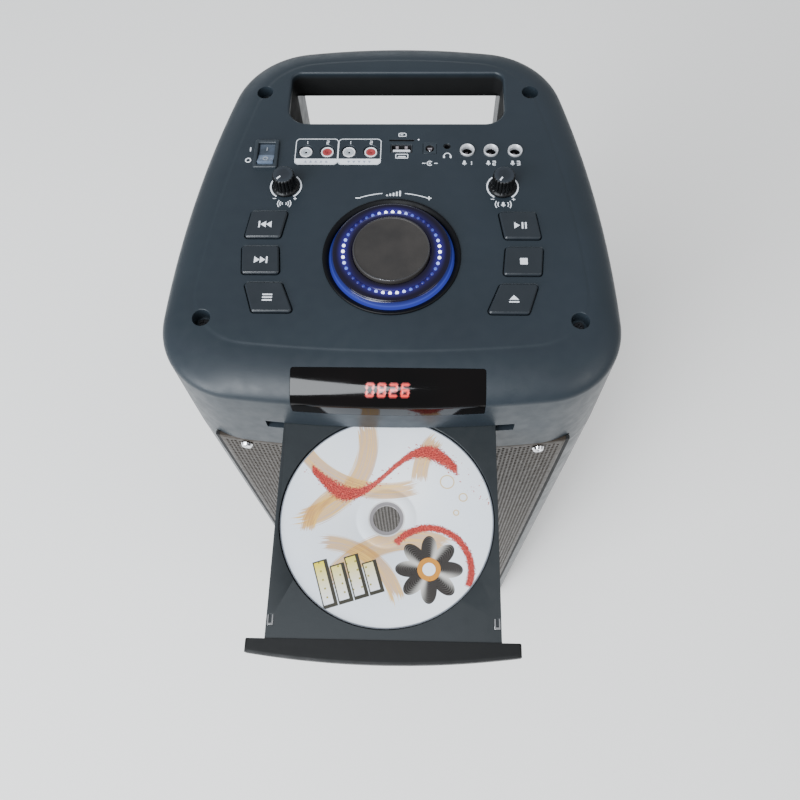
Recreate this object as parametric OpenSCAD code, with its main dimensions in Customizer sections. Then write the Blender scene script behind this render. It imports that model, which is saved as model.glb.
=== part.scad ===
// Karaoke tower speaker with a sliding disc tray, a top control panel and a rear carrying handle.
// Origin on the floor under the middle of the footprint, front towards -Y, up is +Z.

/* [Body] */
// Width over the front corners
front_w = 270.6; // [264:0.5:280]
// Width over the back corners
back_w = 225; // [219:0.5:232]
// Depth from the bowed front to the bowed back
body_d = 275; // [272:0.5:284]
// Height from the floor to the control panel
body_h = 700; // [690:1:760]
// Radius of the front corners
front_corner_r = 50; // [46:1:54]
// Radius of the back corners
back_corner_r = 57; // [50:1:62]
// Bow radius of the front wall
front_bow_r = 800; // [600:10:1200]
// Bow radius of the back wall
back_bow_r = 460; // [400:10:700]
// Bow radius of the side walls
side_bow_r = 750; // [600:10:1200]
// Wall thickness of the cabinet
wall = 4; // [3.5:0.1:4.2]
// Wall thickness of the control panel
panel_t = 3.5; // [3:0.1:4]
// Height of the top shell, from its seam to the control panel
top_shell_h = 85; // [84:0.5:90]
// Height of the rounded shoulder round the panel
shoulder_h = 12; // [10:0.5:14]
// Inward lean of the top shell's wall
draft = 1.5; // [1:0.1:2]
// Width of the shoulder on each side
shoulder_side = 20; // [18:0.5:22]
// Width of the shoulder at the front
shoulder_front = 31; // [29:0.5:33]
// Width of the shoulder at the back
shoulder_back = 19.5; // [17:0.5:22]
// Height of the rubber feet
foot_h = 10; // [8:0.5:14]
// Radius of a rubber foot
foot_r = 16; // [12:0.5:18]

/* [Handle] */
// Width of the hand opening
grip_w = 140.8; // [120:0.4:146]
// Front edge of the hand opening, measured from the middle of the body
grip_front = 61.1; // [60:0.1:66]
// Back edge of the hand opening, where the grip bar begins
grip_back = 105.1; // [100:0.1:108]
// Corner radius at the front of the opening
grip_front_r = 13; // [8:0.5:16]
// Corner radius at the back of the opening
grip_back_r = 6; // [4:0.5:10]
// Depth of the grip bar below the panel
grip_bar_h = 24; // [20:0.5:28]

/* [Front] */
// Distance from the body's side to the opening that the grille fills
window_margin = 23.3; // [21.3:0.1:25.3]
// Width of the dark gap on each side of the grille
grille_gap = 2.5; // [1.5:0.1:3]
// Height of the grille's lower edge over the floor
grille_low = 42; // [36:1:60]
// Height of the grille's upper edge below the panel
grille_drop = 71.5; // [70:0.5:74]
// Thickness of the grille sheet
grille_t = 1.6; // [1.2:0.1:2]
// Thickness of the speaker baffle
baffle_t = 10; // [8:0.5:12]
// Distance of the baffle behind the front wall's middle
baffle_back = 19.5; // [19:0.1:22]
// Distance from the side of the grille's opening to a woofer's frame
woofer_inset = 12.5; // [12:0.5:20]
// Depth of a woofer behind the baffle
woofer_depth = 70; // [60:1:76]
// Height of the lower woofer's middle over the floor
low_woofer_z = 160; // [150:1:168]
// Depth of the upper woofer's middle below the panel
high_woofer_drop = 210; // [204:1:222]

/* [Disc drive] */
// Diameter of the disc
disc_d = 120; // [120:0.1:120.4]
// Diameter of the disc's centre hole
disc_hole_d = 15; // [15:0.05:15.2]
// Thickness of the disc
disc_t = 1.2; // [1.1:0.05:1.3]
// Depth of the disc's top face below the panel
disc_drop = 40; // [38:0.5:42]
// Distance of the disc's middle in front of the body's middle, tray open
disc_out = 190.5; // [188:0.1:192]
// Travel of the tray
tray_travel = 132; // [128:0.1:133]
// Width of the tray
tray_w = 124.8; // [123:0.1:126]
// Length of the tray
tray_l = 180; // [176:0.5:181]
// Thickness of the tray
tray_t = 6.8; // [6.4:0.1:7.2]
// Width of the tray's front bezel
bezel_w = 145; // [140:0.5:147]
// Height of the tray's front bezel
bezel_h = 7.7; // [7.4:0.1:7.9]
// Depth of the bezel at its middle
bezel_d = 12; // [10:0.5:12.5]
// Height of the slot in the front wall
slot_h = 8.5; // [8.3:0.1:9.2]
// Clearance between the tray and its guides
tray_play = 0.3; // [0.2:0.05:0.5]
// Lift of the spindle from rest to playing
deck_lift = 8; // [7.8:0.1:8.4]
// Distance from the spindle to the deck's hinge
deck_arm = 100; // [96:1:104]

/* [Controls] */
// Radius of the volume dial's trim ring
dial_r = 41.1; // [39:0.1:43]
// Distance of the volume dial in front of the body's middle
dial_front = 41.5; // [40:0.5:43]
// Radius of the volume knob
volume_r = 23; // [21:0.1:24.5]
// Number of lights round the volume knob
dial_lights = 44; // [36:1:52]
// Radius of a small knob at its foot
small_knob_r = 8.5; // [7.5:0.1:9.5]
// Height of a small knob
small_knob_h = 11.5; // [10:0.5:16]
// Distance of the small knobs from the middle
small_knob_x = 67.2; // [64:0.1:70]
// Travel of a push button
button_travel = 1.2; // [0.8:0.1:1.5]
// Height of a push button over the panel
button_up = 1.8; // [1.5:0.1:2.4]
// Gap round a push button
button_gap = 0.5; // [0.4:0.05:0.8]
// Tilt of the power rocker from level
rocker_tilt = 10; // [8:0.5:11]
// Bore radius of a microphone socket, for a 6.35 mm plug
mic_bore_r = 3.2; // [3.18:0.01:3.3]
// Bore radius of the line socket, for a 3.5 mm plug
aux_bore_r = 1.78; // [1.76:0.01:1.85]

/* [Hidden] */
$fn = 96;
eps = 0.01;
fit = 0.2;
shaft_play = 0.05;

front_y = -body_d / 2;
back_y = body_d / 2;
seam_z = body_h - top_shell_h;
panel_under = body_h - panel_t;
grille_top = body_h - grille_drop;
front_window_w = front_w - 2 * window_margin;
woofer_r = front_window_w / 2 - woofer_inset;
high_woofer_z = body_h - high_woofer_drop;
disc_top = body_h - disc_drop;
disc_under = disc_top - disc_t;
tray_top = disc_top + 1.6;
tray_under = tray_top - tray_t;
tray_ahead = 66;
tray_front = -disc_out - tray_ahead;
tray_back = tray_front + tray_l;
play_y = -disc_out + tray_travel;
slot_low = tray_under - 0.8;
bezel_low = slot_low + (slot_h - bezel_h) / 2;
board_drop = 12.9;
board_top = panel_under - board_drop;
board_t = 1.6;
// Depth from the panel's face to the control board
socket_h = panel_t + board_drop;

// Points along an arc, from angle a to angle b
function arc(c, r, a, b, n) = [for (i = [0:n]) let (t = a + (b - a) * i / n) c + r * [cos(t), sin(t)]];
function heading(v) = atan2(v.y, v.x);
// Centre of a large circle that touches two corner circles from outside
function bow_centre(c1, r1, c2, r2, big) =
    let (d = norm(c2 - c1), a = ((big - r1) ^ 2 - (big - r2) ^ 2 + d * d) / (2 * d),
         h = sqrt((big - r1) ^ 2 - a * a), u = (c2 - c1) / d)
    c1 + a * u + h * [-u.y, u.x];
// Right half of the plan outline, from the front middle to the back middle
function half_plan(fw, bw, yf, yb, rf, rb) =
    let (of = [0, yf + front_bow_r], ob = [0, yb - back_bow_r],
         xf = fw / 2 - rf, xb = bw / 2 - rb,
         cf = [xf, of.y - sqrt((front_bow_r - rf) ^ 2 - xf * xf)],
         cb = [xb, ob.y + sqrt((back_bow_r - rb) ^ 2 - xb * xb)],
         os = bow_centre(cf, rf, cb, rb, side_bow_r),
         a1 = heading(cf - of), a2 = heading(cf - os), a3 = heading(cb - os), a4 = heading(cb - ob))
    concat(arc(of, front_bow_r, -90, a1, 7), arc(cf, rf, a1, a2, 9), arc(os, side_bow_r, a2, a3, 5),
           arc(cb, rb, a3, a4, 8), arc(ob, back_bow_r, a4, 90, 5));
function clean(p) = [for (i = [0:len(p) - 1]) if (i == 0 || norm(p[i] - p[i - 1]) > eps) p[i]];
function whole(h) = let (n = len(h)) concat(h, [for (i = [n - 2:-1:1]) [-h[i].x, h[i].y]]);
// Plan of the body's wall, drawn in by k all round
function wall_plan(k) = whole(clean(half_plan(front_w - 2 * k, back_w - 2 * k, front_y + k, back_y - k,
    front_corner_r - k, back_corner_r - k)));
// Plan of the flat panel's edge, inside the rounded shoulder, drawn in by k
function panel_plan(k) = whole(clean(half_plan(front_w - 2 * shoulder_side - 2 * k,
    back_w - 2 * shoulder_side - 2 * k, front_y + shoulder_front + k, back_y - shoulder_back - k,
    front_corner_r - 16, back_corner_r - 16)));
function blend(p, q, t) = [for (i = [0:len(p) - 1]) p[i] * (1 - t) + q[i] * t];
function at_height(p, z) = [for (v = p) [v.x, v.y, z]];

// Closed solid through a stack of rings that have the same number of points
module rings(stack) {
    n = len(stack[0]);
    m = len(stack);
    points = [for (r = stack) each r];
    sides = [for (j = [0:m - 2], i = [0:n - 1]) each [
        [j * n + i, (j + 1) * n + i, (j + 1) * n + (i + 1) % n],
        [j * n + i, (j + 1) * n + (i + 1) % n, j * n + (i + 1) % n]]];
    polyhedron(points = points, faces = concat(sides,
        [[for (i = [0:n - 1]) i]], [[for (i = [n - 1:-1:0]) (m - 1) * n + i]]), convexity = 8);
}

// Outside of the top shell, drawn in by k and starting at height z0
module top_form(k, z0) {
    wall_in = wall_plan(draft + k);
    flat_in = panel_plan(k);
    steps = 7;
    shoulder_z = body_h - shoulder_h - k;
    rings(concat([at_height(wall_plan(k), z0)], [at_height(wall_in, shoulder_z)],
        [for (i = [1:steps]) let (a = 90 * i / steps, out = i == steps ? 0 : pow(cos(a), 1.15))
            at_height(blend(flat_in, wall_in, out), shoulder_z + (shoulder_h - 0.6) * sin(a))],
        [at_height(panel_plan(k + 0.8), body_h - k)]));
}

// Rectangle round the origin with its own corner radii at front and back
module rounded_rect(w, d, rf, rb) {
    front = [w / 2 - rf, rf - d / 2];
    back = [w / 2 - rb, d / 2 - rb];
    polygon(concat(arc(front, rf, -90, 0, 8), arc(back, rb, 0, 90, 8), arc([-back.x, back.y], rb, 90, 180, 8),
        arc([-front.x, front.y], rf, 180, 270, 8)));
}

// Push buttons: corners front-inner, front-outer, back-outer, back-inner on the right-hand side
button_rows = [
    [[67.2, -29.8], [89.2, -29.8], [86.5, -10.0], [64.0, -10.0]],
    [[65.6, -55.4], [88.0, -55.4], [89.8, -35.7], [67.6, -35.7]],
    [[55.4, -81.4], [79.5, -81.4], [86.0, -61.4], [63.5, -61.4]]];
button_r = 2;
function mid(p) = (p[0] + p[1] + p[2] + p[3]) / 4;

// Four-cornered outline with rounded corners, grown by k
module button_plan(p, k) {
    n = 4;
    polygon([for (i = [0:n - 1]) let (a = p[(i + n - 1) % n] - p[i], b = p[(i + 1) % n] - p[i],
            ua = a / norm(a), ub = b / norm(b), half = acos(ua * ub) / 2,
            inward = (ua + ub) / norm(ua + ub), c = p[i] + inward * (button_r / sin(half)),
            start = heading(-[ua.y, -ua.x]), turn = 180 - 2 * half, grow = button_r + k)
        each [for (s = [0:4]) c + grow * [cos(start + turn * s / 4), sin(start + turn * s / 4)]]]);
}

// Places in the control panel
small_knob_y = 9;
rocker_at = [-81.8, 34.2];
rocker_bezel = [15.6, 22.5];
rocker_body = [13, 19.4];
rca_x = [-56.9, -43.2, -29.3, -15.4];
rca_y = 37.7;
rca_r = 4.1;
rca_h = 14.6;
rca_hole_r = 4.8;
mic_at = [[45.8, 38.4], [60.8, 38.2], [76.0, 38.0]];
mic_ring_r = 4.65;
mic_body_r = 6.3;
aux_at = [33.1, 42.0];
aux_ring_r = 3;
usb_at = [4.1, 40.0];
usb_size = [13.4, 6.6];
card_at = [4.15, 46.6];
card_size = [15.9, 1.5];
dot_at = [14.9, 47.2];
dc_at = [22.1, 39.9];
dc_size = 8.2;
dot_r = 1;
pot_neck_r = 3.4;
screw_at = [[87.8, 88.0], [-87.8, 88.0], [108.4, -85.0], [-108.4, -85.0]];
screw_recess_r = 5.25;
screw_recess_h = 9;
screw_wall = 2;
screw_shank_r = 1.5;
boss_at = [[100, -50], [-100, -50], [93, 52], [-93, 52]];
dial_hole_r = dial_r - 1.6;
dial_at = [0, -dial_front];

module top_shell() {
    color([0.22, 0.24, 0.26]) difference() {
        union() {
            difference() {
                top_form(0, seam_z);
                difference() {
                    top_form(panel_t, seam_z - 1);
                    grip_block();
                    for (p = screw_at) translate([p.x, p.y, seam_z])
                        cylinder(h = top_shell_h, r = screw_recess_r + screw_wall);
                }
            }
            for (p = boss_at) translate([p.x, p.y, board_top]) cylinder(h = board_drop + 1, r = 3.5);
        }
        grip_space();
        for (p = screw_at) translate([p.x, p.y, body_h - screw_recess_h]) {
            cylinder(h = screw_recess_h + 1, r = screw_recess_r);
            translate([0, 0, -top_shell_h]) cylinder(h = top_shell_h + 1, r = screw_shank_r + fit);
        }
        panel_hole(dial_at, dial_hole_r);
        for (s = [-1, 1]) panel_hole([s * small_knob_x, small_knob_y], pot_neck_r + fit);
        panel_window(rocker_at, rocker_body + [2 * fit, 2 * fit]);
        for (x = rca_x) panel_hole([x, rca_y], rca_hole_r);
        for (p = mic_at) panel_hole(p, mic_ring_r + fit);
        panel_hole(aux_at, aux_ring_r + fit);
        panel_window(usb_at, usb_size + [2 * fit, 2 * fit]);
        panel_window(card_at, card_size);
        panel_hole(dot_at, dot_r + fit);
        panel_window(dc_at, [dc_size + 2 * fit, dc_size + 2 * fit]);
        for (s = [0, 1], p = button_rows) mirror([s, 0, 0])
            translate([0, 0, panel_under - 1]) linear_extrude(panel_t + 2) button_plan(p, 0);
        lens_block(fit);
        translate([0, front_y, slot_low + slot_h / 2]) cube([bezel_w + 2, 60, slot_h], center = true);
        front_cut(seam_z - 1, grille_top);
    }
}

// Round opening through the panel
module panel_hole(at, r) {
    translate([at.x, at.y, panel_under - 1]) cylinder(h = panel_t + 2, r = r);
}

// Rectangular opening through the panel
module panel_window(at, size) {
    translate([at.x - size.x / 2, at.y - size.y / 2, panel_under - 1]) cube([size.x, size.y, panel_t + 2]);
}

// Opening in the front wall that the grille fills, between two heights
module front_cut(z0, z1) {
    translate([-front_window_w / 2, front_y - 10, z0]) cube([front_window_w, 40, z1 - z0]);
}

// Wall block round the hand opening
module grip_block() {
    translate([0, 0, seam_z - 2])
        linear_extrude(top_shell_h + 3) translate([0, (grip_front + back_y) / 2])
            square([grip_w + 2 * panel_t, back_y - grip_front + 2 * panel_t], center = true);
}

// Air of the hand opening: down through the panel, and out at the back under the grip bar
module grip_space() {
    floor_front = seam_z + 36;
    floor_back = seam_z + 3;
    reach = back_y + 5 - grip_front;
    intersection() {
        translate([0, (grip_front + grip_back) / 2, seam_z]) linear_extrude(top_shell_h + 1)
            rounded_rect(grip_w, grip_back - grip_front, grip_front_r, grip_back_r);
        grip_wedge(floor_front, floor_back, reach);
    }
    intersection() {
        translate([-grip_w / 2, grip_front + grip_front_r, seam_z])
            cube([grip_w, reach, top_shell_h - grip_bar_h]);
        grip_wedge(floor_front, floor_back, reach);
    }
}

// Space over the opening's sloping floor
module grip_wedge(z_front, z_back, reach) {
    rotate([90, 0, 90]) translate([0, 0, -grip_w / 2 - 1]) linear_extrude(grip_w + 2)
        polygon([[grip_front - 1, z_front], [grip_front + reach, z_back], [grip_front + reach, body_h + 2],
            [grip_front - 1, body_h + 2]]);
}

lens_w = 108.6;
lens_back = front_y + 22;
lens_low = body_h - 20;
lens_t = 2.4;
module lens_block(k) {
    translate([-lens_w / 2 - k, front_y - 5, lens_low - k])
        cube([lens_w + 2 * k, lens_back + k - front_y + 5, 30]);
}

module display_lens() {
    color([0.05, 0.05, 0.06]) difference() {
        intersection() {
            top_form(0, seam_z);
            lens_block(0);
        }
        top_form(lens_t, seam_z - 1);
    }
}

module display_board() {
    color([0.1, 0.35, 0.15]) translate([-45, front_y + 10, body_h - 16]) {
        cube([90, 12, 1.6]);
        translate([10, 2, 1.6]) cube([70, 9, 6]);
        for (x = [2, 82]) translate([x, 3.5, 1.6]) cube([5, 6, 7]);
    }
}

module cabinet_shell() {
    color([0.2, 0.22, 0.24]) difference() {
        translate([0, 0, foot_h]) linear_extrude(seam_z - foot_h) difference() {
            polygon(wall_plan(0));
            polygon(wall_plan(wall));
        }
        front_cut(grille_low - grille_gap, body_h);
        translate([0, back_y, port_z]) rotate([90, 0, 0])
            cylinder(h = 40, r = port_r + port_t + fit, center = true);
    }
    // Inner rim that the top shell stands on
    color([0.2, 0.22, 0.24]) translate([0, 0, seam_z - 14]) linear_extrude(10) difference() {
        polygon(wall_plan(wall - eps));
        polygon(wall_plan(wall + 3));
        translate([-front_window_w / 2 - 6, front_y - 10]) square([front_window_w + 12, 60]);
    }
}

bottom_t = 6;
module bottom_plate() {
    color([0.12, 0.12, 0.13]) difference() {
        translate([0, 0, foot_h]) linear_extrude(bottom_t) polygon(wall_plan(wall + fit));
        for (p = foot_at) translate([p.x, p.y, foot_h - 1]) cylinder(h = bottom_t + 2, r = 2);
    }
}

foot_at = [[88, -88], [-88, -88], [68, 92], [-68, 92]];
module feet() {
    color([0.06, 0.06, 0.06]) for (p = foot_at) translate([p.x, p.y, 0]) difference() {
        cylinder(h = foot_h, r1 = foot_r - 1.5, r2 = foot_r);
        translate([0, 0, -1]) cylinder(h = 5, r = 4.5);
        cylinder(h = foot_h + 1, r = 2.2);
    }
}

// Rebate behind the dark gap: it carries the grille and the baffle
module front_frame() {
    rim = 14;
    color([0.05, 0.05, 0.05]) difference() {
        translate([0, 0, grille_low - 8]) linear_extrude(grille_top - grille_low + 14) intersection() {
            difference() {
                polygon(wall_plan(wall + fit));
                polygon(wall_plan(wall + fit + 3.6));
            }
            translate([-front_window_w / 2 - 5, front_y - 1]) square([front_window_w + 10, 40]);
        }
        translate([-front_window_w / 2 + rim, front_y - 5, grille_low + rim])
            cube([front_window_w - 2 * rim, 60, grille_top - grille_low - 2 * rim]);
        for (s = [-1, 1]) grille_screw_place(s) translate([0, 0, -8]) cylinder(h = 12, r = 1.5);
    }
}

module grille() {
    half = front_window_w / 2 - grille_gap;
    color([0.25, 0.24, 0.23]) difference() {
        translate([0, 0, grille_low]) linear_extrude(grille_top - grille_low - 0.4) intersection() {
            polygon(wall_plan(0.4));
            union() {
                difference() {
                    translate([-half, front_y - 1]) square([2 * half, 40]);
                    polygon(wall_plan(0.4 + grille_t));
                }
                for (s = [-1, 1]) translate([s * (half - grille_t / 2) - grille_t / 2, front_y])
                    square([grille_t, 40]);
            }
            difference() {
                square([400, 400], center = true);
                polygon(wall_plan(wall));
            }
        }
        for (s = [-1, 1]) grille_screw_place(s) translate([0, 0, -6]) cylinder(h = 12, r = 1.6);
    }
}

grille_screw_x = front_window_w / 2 - 19;
grille_screw_z = grille_top - 8;
// Axis of a grille screw, square to the bowed front at its place
module grille_screw_place(s) {
    a = asin(grille_screw_x / front_bow_r);
    translate([s * grille_screw_x, front_y + front_bow_r * (1 - cos(a)), grille_screw_z])
        rotate([0, 0, s * a]) rotate([90, 0, 0]) children();
}

module grille_screws() {
    color([0.8, 0.8, 0.82]) for (s = [-1, 1]) grille_screw_place(s) difference() {
        union() {
            translate([0, 0, 0.1]) cylinder(h = 1.8, r1 = 4, r2 = 3);
            translate([0, 0, -5]) cylinder(h = 5.2, r = 1.4);
        }
        for (a = [0, 90]) rotate([0, 0, a]) translate([-0.5, -2.2, 1]) cube([1, 4.4, 2]);
    }
}

baffle_y = front_y + baffle_back;
tweeter_z = (low_woofer_z + high_woofer_z) / 2;
horn_r = 27;
horn_depth = 34;
horn_rim = 12;
horn_plate = [120, 0.64 * (high_woofer_z - low_woofer_z - 2 * woofer_r)];
module front_baffle() {
    color([0.3, 0.24, 0.17]) difference() {
        translate([0, 0, foot_h + bottom_t + fit]) linear_extrude(seam_z - foot_h - 26) intersection() {
            polygon(wall_plan(wall + fit + 3.8));
            translate([-200, baffle_y]) square([400, baffle_t]);
        }
        for (z = [low_woofer_z, high_woofer_z]) translate([0, baffle_y - 1, z]) rotate([-90, 0, 0])
            cylinder(h = baffle_t + 2, r = woofer_r - 9);
        translate([0, baffle_y - 1, tweeter_z]) rotate([-90, 0, 0])
            cylinder(h = baffle_t + 2, r = horn_r + 1);
    }
}

// Faces a driver's own axis forwards, with its flange on the baffle
module on_baffle(z) {
    translate([0, baffle_y, z]) rotate([90, 0, 0]) children();
}

module woofer_basket(z) {
    r = woofer_r;
    color([0.15, 0.15, 0.16]) on_baffle(z) difference() {
        rotate_extrude() polygon([[r - 10, 2.5], [r, 2.5], [r, 0], [r - 9 - fit, 0],
            [r - 9 - fit, -baffle_t - 4], [42, -woofer_depth + 18], [20, -woofer_depth + 18],
            [20, -woofer_depth + 20], [41, -woofer_depth + 20], [r - 11.5, -baffle_t - 3]]);
        for (a = [0:60:300]) rotate([0, 0, a]) translate([62, 0, -woofer_depth + 8]) cylinder(h = 40, r = 15);
        for (a = [22.5:45:337.5]) rotate([0, 0, a]) translate([r - 4.5, 0, -1]) cylinder(h = 5, r = 1.8);
    }
}
module woofer_magnet(z) {
    color([0.08, 0.08, 0.08]) on_baffle(z) translate([0, 0, -woofer_depth]) difference() {
        union() {
            cylinder(h = 18, r = 45);
            cylinder(h = 20, r = 19.7);
        }
        translate([0, 0, -1]) cylinder(h = 8, r = 9);
    }
}
module woofer_cone(z) {
    r = woofer_r;
    color([0.12, 0.12, 0.13]) on_baffle(z) {
        rotate_extrude() polygon([[r - 21, -3], [21, -woofer_depth + 34], [21, -woofer_depth + 23],
            [19.5, -woofer_depth + 23], [19.5, -woofer_depth + 35], [r - 21, -2]]);
        translate([0, 0, -woofer_depth + 34]) rotate_extrude() intersection() {
            translate([0, -16]) difference() {
                circle(r = 29);
                circle(r = 28);
            }
            square([24, 30]);
        }
    }
}
module woofer_surround(z) {
    r = woofer_r;
    color([0.1, 0.1, 0.1]) on_baffle(z) rotate_extrude() {
        translate([r - 15.9, -1.6]) difference() {
            circle(r = 4.9);
            circle(r = 3.9);
            translate([-8, -8.2]) square([16, 8]);
        }
        translate([r - 24, -1.8]) square([4, 0.8]);
    }
}
module tweeter() {
    dish = horn_plate - [2 * horn_rim, 2 * horn_rim];
    color([0.14, 0.14, 0.15]) on_baffle(tweeter_z) difference() {
        union() {
            translate([-horn_plate.x / 2, -horn_plate.y / 2, 0]) cube([horn_plate.x, horn_plate.y, 3]);
            translate([0, 0, -horn_depth]) cylinder(h = horn_depth + 0.5, r = horn_r);
        }
        translate([0, 0, -12]) cylinder(h = 16, r1 = 12, r2 = horn_r - 2);
        // Sunk field round the horn's mouth
        translate([-dish.x / 2, -dish.y / 2, 1.4]) difference() {
            cube([dish.x, dish.y, 4]);
            translate([dish.x / 2, dish.y / 2, -1]) cylinder(h = 8, r = horn_r + 2);
        }
    }
}

port_r = 26;
port_t = 3;
port_l = 90;
port_z = 90;
module bass_port() {
    flange = port_r + 8;
    outside = port_r + port_t;
    color([0.1, 0.1, 0.1]) translate([0, back_y, port_z]) rotate([90, 0, 0]) rotate_extrude()
        polygon([[flange, -2], [flange, 0], [outside, 0], [outside, port_l], [port_r, port_l],
            [port_r, 8], [port_r + 1, 3], [port_r + 3.5, -1.4]]);
}

module shell_screws() {
    color([0.2, 0.2, 0.21]) for (p = screw_at) translate([p.x, p.y, body_h - screw_recess_h]) difference() {
        union() {
            // Head, then shank
            cylinder(h = 2.4, r1 = 3.4, r2 = 2.8);
            translate([0, 0, -30]) cylinder(h = 30.5, r = screw_shank_r);
        }
        for (a = [0, 90]) rotate([0, 0, a]) translate([-0.5, -2, 1.4]) cube([1, 4, 2]);
    }
}

board_step = -16;
board_front = [208, 63.5];
board_back = [194, 72];
switch_h = 3.2;
module control_board() {
    color([0.08, 0.3, 0.14]) difference() {
        translate([0, 0, board_top - board_t]) {
            translate([-board_front.x / 2, board_step - board_front.y + 2, 0])
                cube([board_front.x, board_front.y, board_t]);
            translate([-board_back.x / 2, board_step, 0]) cube([board_back.x, board_back.y, board_t]);
            for (s = [-1, 1], p = button_rows) translate([s * mid(p).x - 3, mid(p).y - 3, board_t - eps])
                cube([6, 6, switch_h]);
        }
        for (p = mic_at) translate([p.x, p.y, board_top - 3]) cylinder(h = 5, r = mic_body_r + 0.3);
        for (p = boss_at) translate([p.x, p.y, board_top - 3]) cylinder(h = 5, r = 1.5);
    }
}

dial_sunk = 6;
trim_in = dial_r - 3.6;
module dial_trim_ring() {
    neck = dial_hole_r - fit;
    color([0.05, 0.05, 0.05]) translate([dial_at.x, dial_at.y, body_h]) rotate_extrude()
        polygon([[trim_in, -dial_sunk], [neck, -dial_sunk], [neck, 0], [dial_r, 0], [dial_r, 0.7],
            [dial_r - 0.5, 1.3], [dial_r - 1.3, 1.3], [trim_in, -0.3]]);
}
light_out = trim_in - fit;
light_in = light_out - 3;
led_r = 28.6;
led_in = volume_r + 0.6;
module light_ring() {
    color([0.25, 0.35, 0.95]) translate([dial_at.x, dial_at.y, body_h]) rotate_extrude()
        polygon([[light_in, -dial_sunk], [light_out, -dial_sunk], [light_out, -0.6], [light_out - 0.4, 1.6],
            [light_out - 1.3, 3.1], [light_in, 3.8]]);
}
module led_ring() {
    color([0.04, 0.04, 0.05]) translate([dial_at.x, dial_at.y, body_h]) difference() {
        rotate_extrude() polygon([[led_in, -dial_sunk], [light_in - fit, -dial_sunk], [light_in - fit, 3.5],
            [light_in - 1.2, 4.2], [led_in, 6]]);
        rotate_extrude() translate([led_r - 1.1, 4]) square([2.2, 3]);
    }
}
module led_dots() {
    color([0.6, 0.75, 1]) for (i = [0:dial_lights - 1])
        translate([dial_at.x, dial_at.y, body_h]) rotate([0, 0, 360 * i / dial_lights])
            translate([led_r, 0, 4]) cylinder(h = 0.9, r = 0.8, $fn = 24);
}
shaft_r = 3;
encoder_z = 2;
encoder_h = 13.2;
module volume_encoder() {
    color([0.55, 0.56, 0.58]) translate([dial_at.x, dial_at.y, board_top]) difference() {
        union() {
            translate([-7, -7, 0]) cube([14, 14, 7]);
            cylinder(h = encoder_h, r = 4.5);
            translate([0, 0, socket_h - dial_sunk - 1]) cylinder(h = 1, r = light_out + 1.4);
        }
        translate([0, 0, encoder_z]) cylinder(h = 20, r = shaft_r + shaft_play);
    }
}
module volume_knob() {
    top = body_h + 7.6;
    bottom = board_top + encoder_h + 0.4;
    color([0.35, 0.32, 0.31]) translate([dial_at.x, dial_at.y, 0]) {
        difference() {
            rotate_extrude() polygon([[0, bottom], [volume_r - 1.2, bottom], [volume_r, bottom + 1.5],
                [volume_r, top - 1.2], [volume_r - 1, top - 0.2], [volume_r - 2.4, top], [0, top - 0.6]]);
            translate([0, 0, bottom - 1]) cylinder(h = 3, r = volume_r - 4);
        }
        translate([0, 0, board_top + encoder_z + 0.3]) cylinder(h = bottom - board_top, r = shaft_r);
    }
}

// Potentiometer under the panel with its threaded neck
module pot(x) {
    color([0.55, 0.56, 0.58]) translate([x, small_knob_y, board_top]) difference() {
        union() {
            translate([-5.5, -5.5, 0]) cube([11, 11, 7]);
            cylinder(h = socket_h - 0.4, r = pot_neck_r);
        }
        translate([0, 0, encoder_z]) cylinder(h = 20, r = 2 + shaft_play);
    }
}
module echo_pot() { pot(-small_knob_x); }
module mic_volume_pot() { pot(small_knob_x); }

module small_knob(x) {
    color([0.07, 0.07, 0.08]) translate([x, small_knob_y, body_h + 0.4]) {
        difference() {
            rotate_extrude() polygon([[0, 0], [small_knob_r, 0], [small_knob_r, 1.6], [small_knob_r - 1, 2.4],
                [small_knob_r - 1.7, small_knob_h - 0.8], [small_knob_r - 2.4, small_knob_h], [0, small_knob_h]]);
            for (i = [0:17]) rotate([0, 0, 20 * i + 10]) translate([small_knob_r - 0.6, 0, 3])
                cylinder(h = small_knob_h, r = 0.9, $fn = 24);
        }
        translate([0, 0, encoder_z - socket_h - 0.1]) cylinder(h = socket_h, r = 2);
    }
}
module echo_knob() { small_knob(-small_knob_x); }
module mic_volume_knob() { small_knob(small_knob_x); }

rocker_w = 10;
rocker_r = 8.4;
rocker_z = body_h - 3;
rocker_pin_r = 1.5;
module switch_frame() {
    cavity_r = rocker_r + 0.35;
    cavity_w = rocker_w + 0.6;
    color([0.05, 0.05, 0.05]) translate([rocker_at.x, rocker_at.y, 0]) difference() {
        union() {
            translate([0, 0, body_h]) linear_extrude(2)
                rounded_rect(rocker_bezel.x, rocker_bezel.y, 1.5, 1.5);
            translate([-rocker_body.x / 2, -rocker_body.y / 2, board_top])
                cube([rocker_body.x, rocker_body.y, socket_h + 0.5]);
        }
        translate([-cavity_w / 2, -cavity_r, rocker_z]) cube([cavity_w, 2 * cavity_r, 20]);
        translate([0, 0, rocker_z]) rotate([0, 90, 0]) {
            cylinder(h = cavity_w, r = cavity_r, center = true);
            cylinder(h = rocker_w + 2.4, r = rocker_pin_r + shaft_play, center = true);
        }
    }
}
module power_rocker() {
    reach = rocker_r + 2;
    crest = 3 + reach * tan(rocker_tilt);
    color([0.1, 0.1, 0.1]) translate([rocker_at.x, rocker_at.y, rocker_z]) rotate([-rocker_tilt, 0, 0]) {
        intersection() {
            rotate([0, 90, 0]) cylinder(h = rocker_w, r = rocker_r, center = true);
            rotate([90, 0, 90]) translate([0, 0, -rocker_w / 2]) linear_extrude(rocker_w)
                polygon([[-reach, -3], [reach, -3], [reach, crest], [0, 3], [-reach, crest]]);
        }
        rotate([0, 90, 0]) cylinder(h = rocker_w + 2, r = rocker_pin_r, center = true);
    }
}

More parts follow.
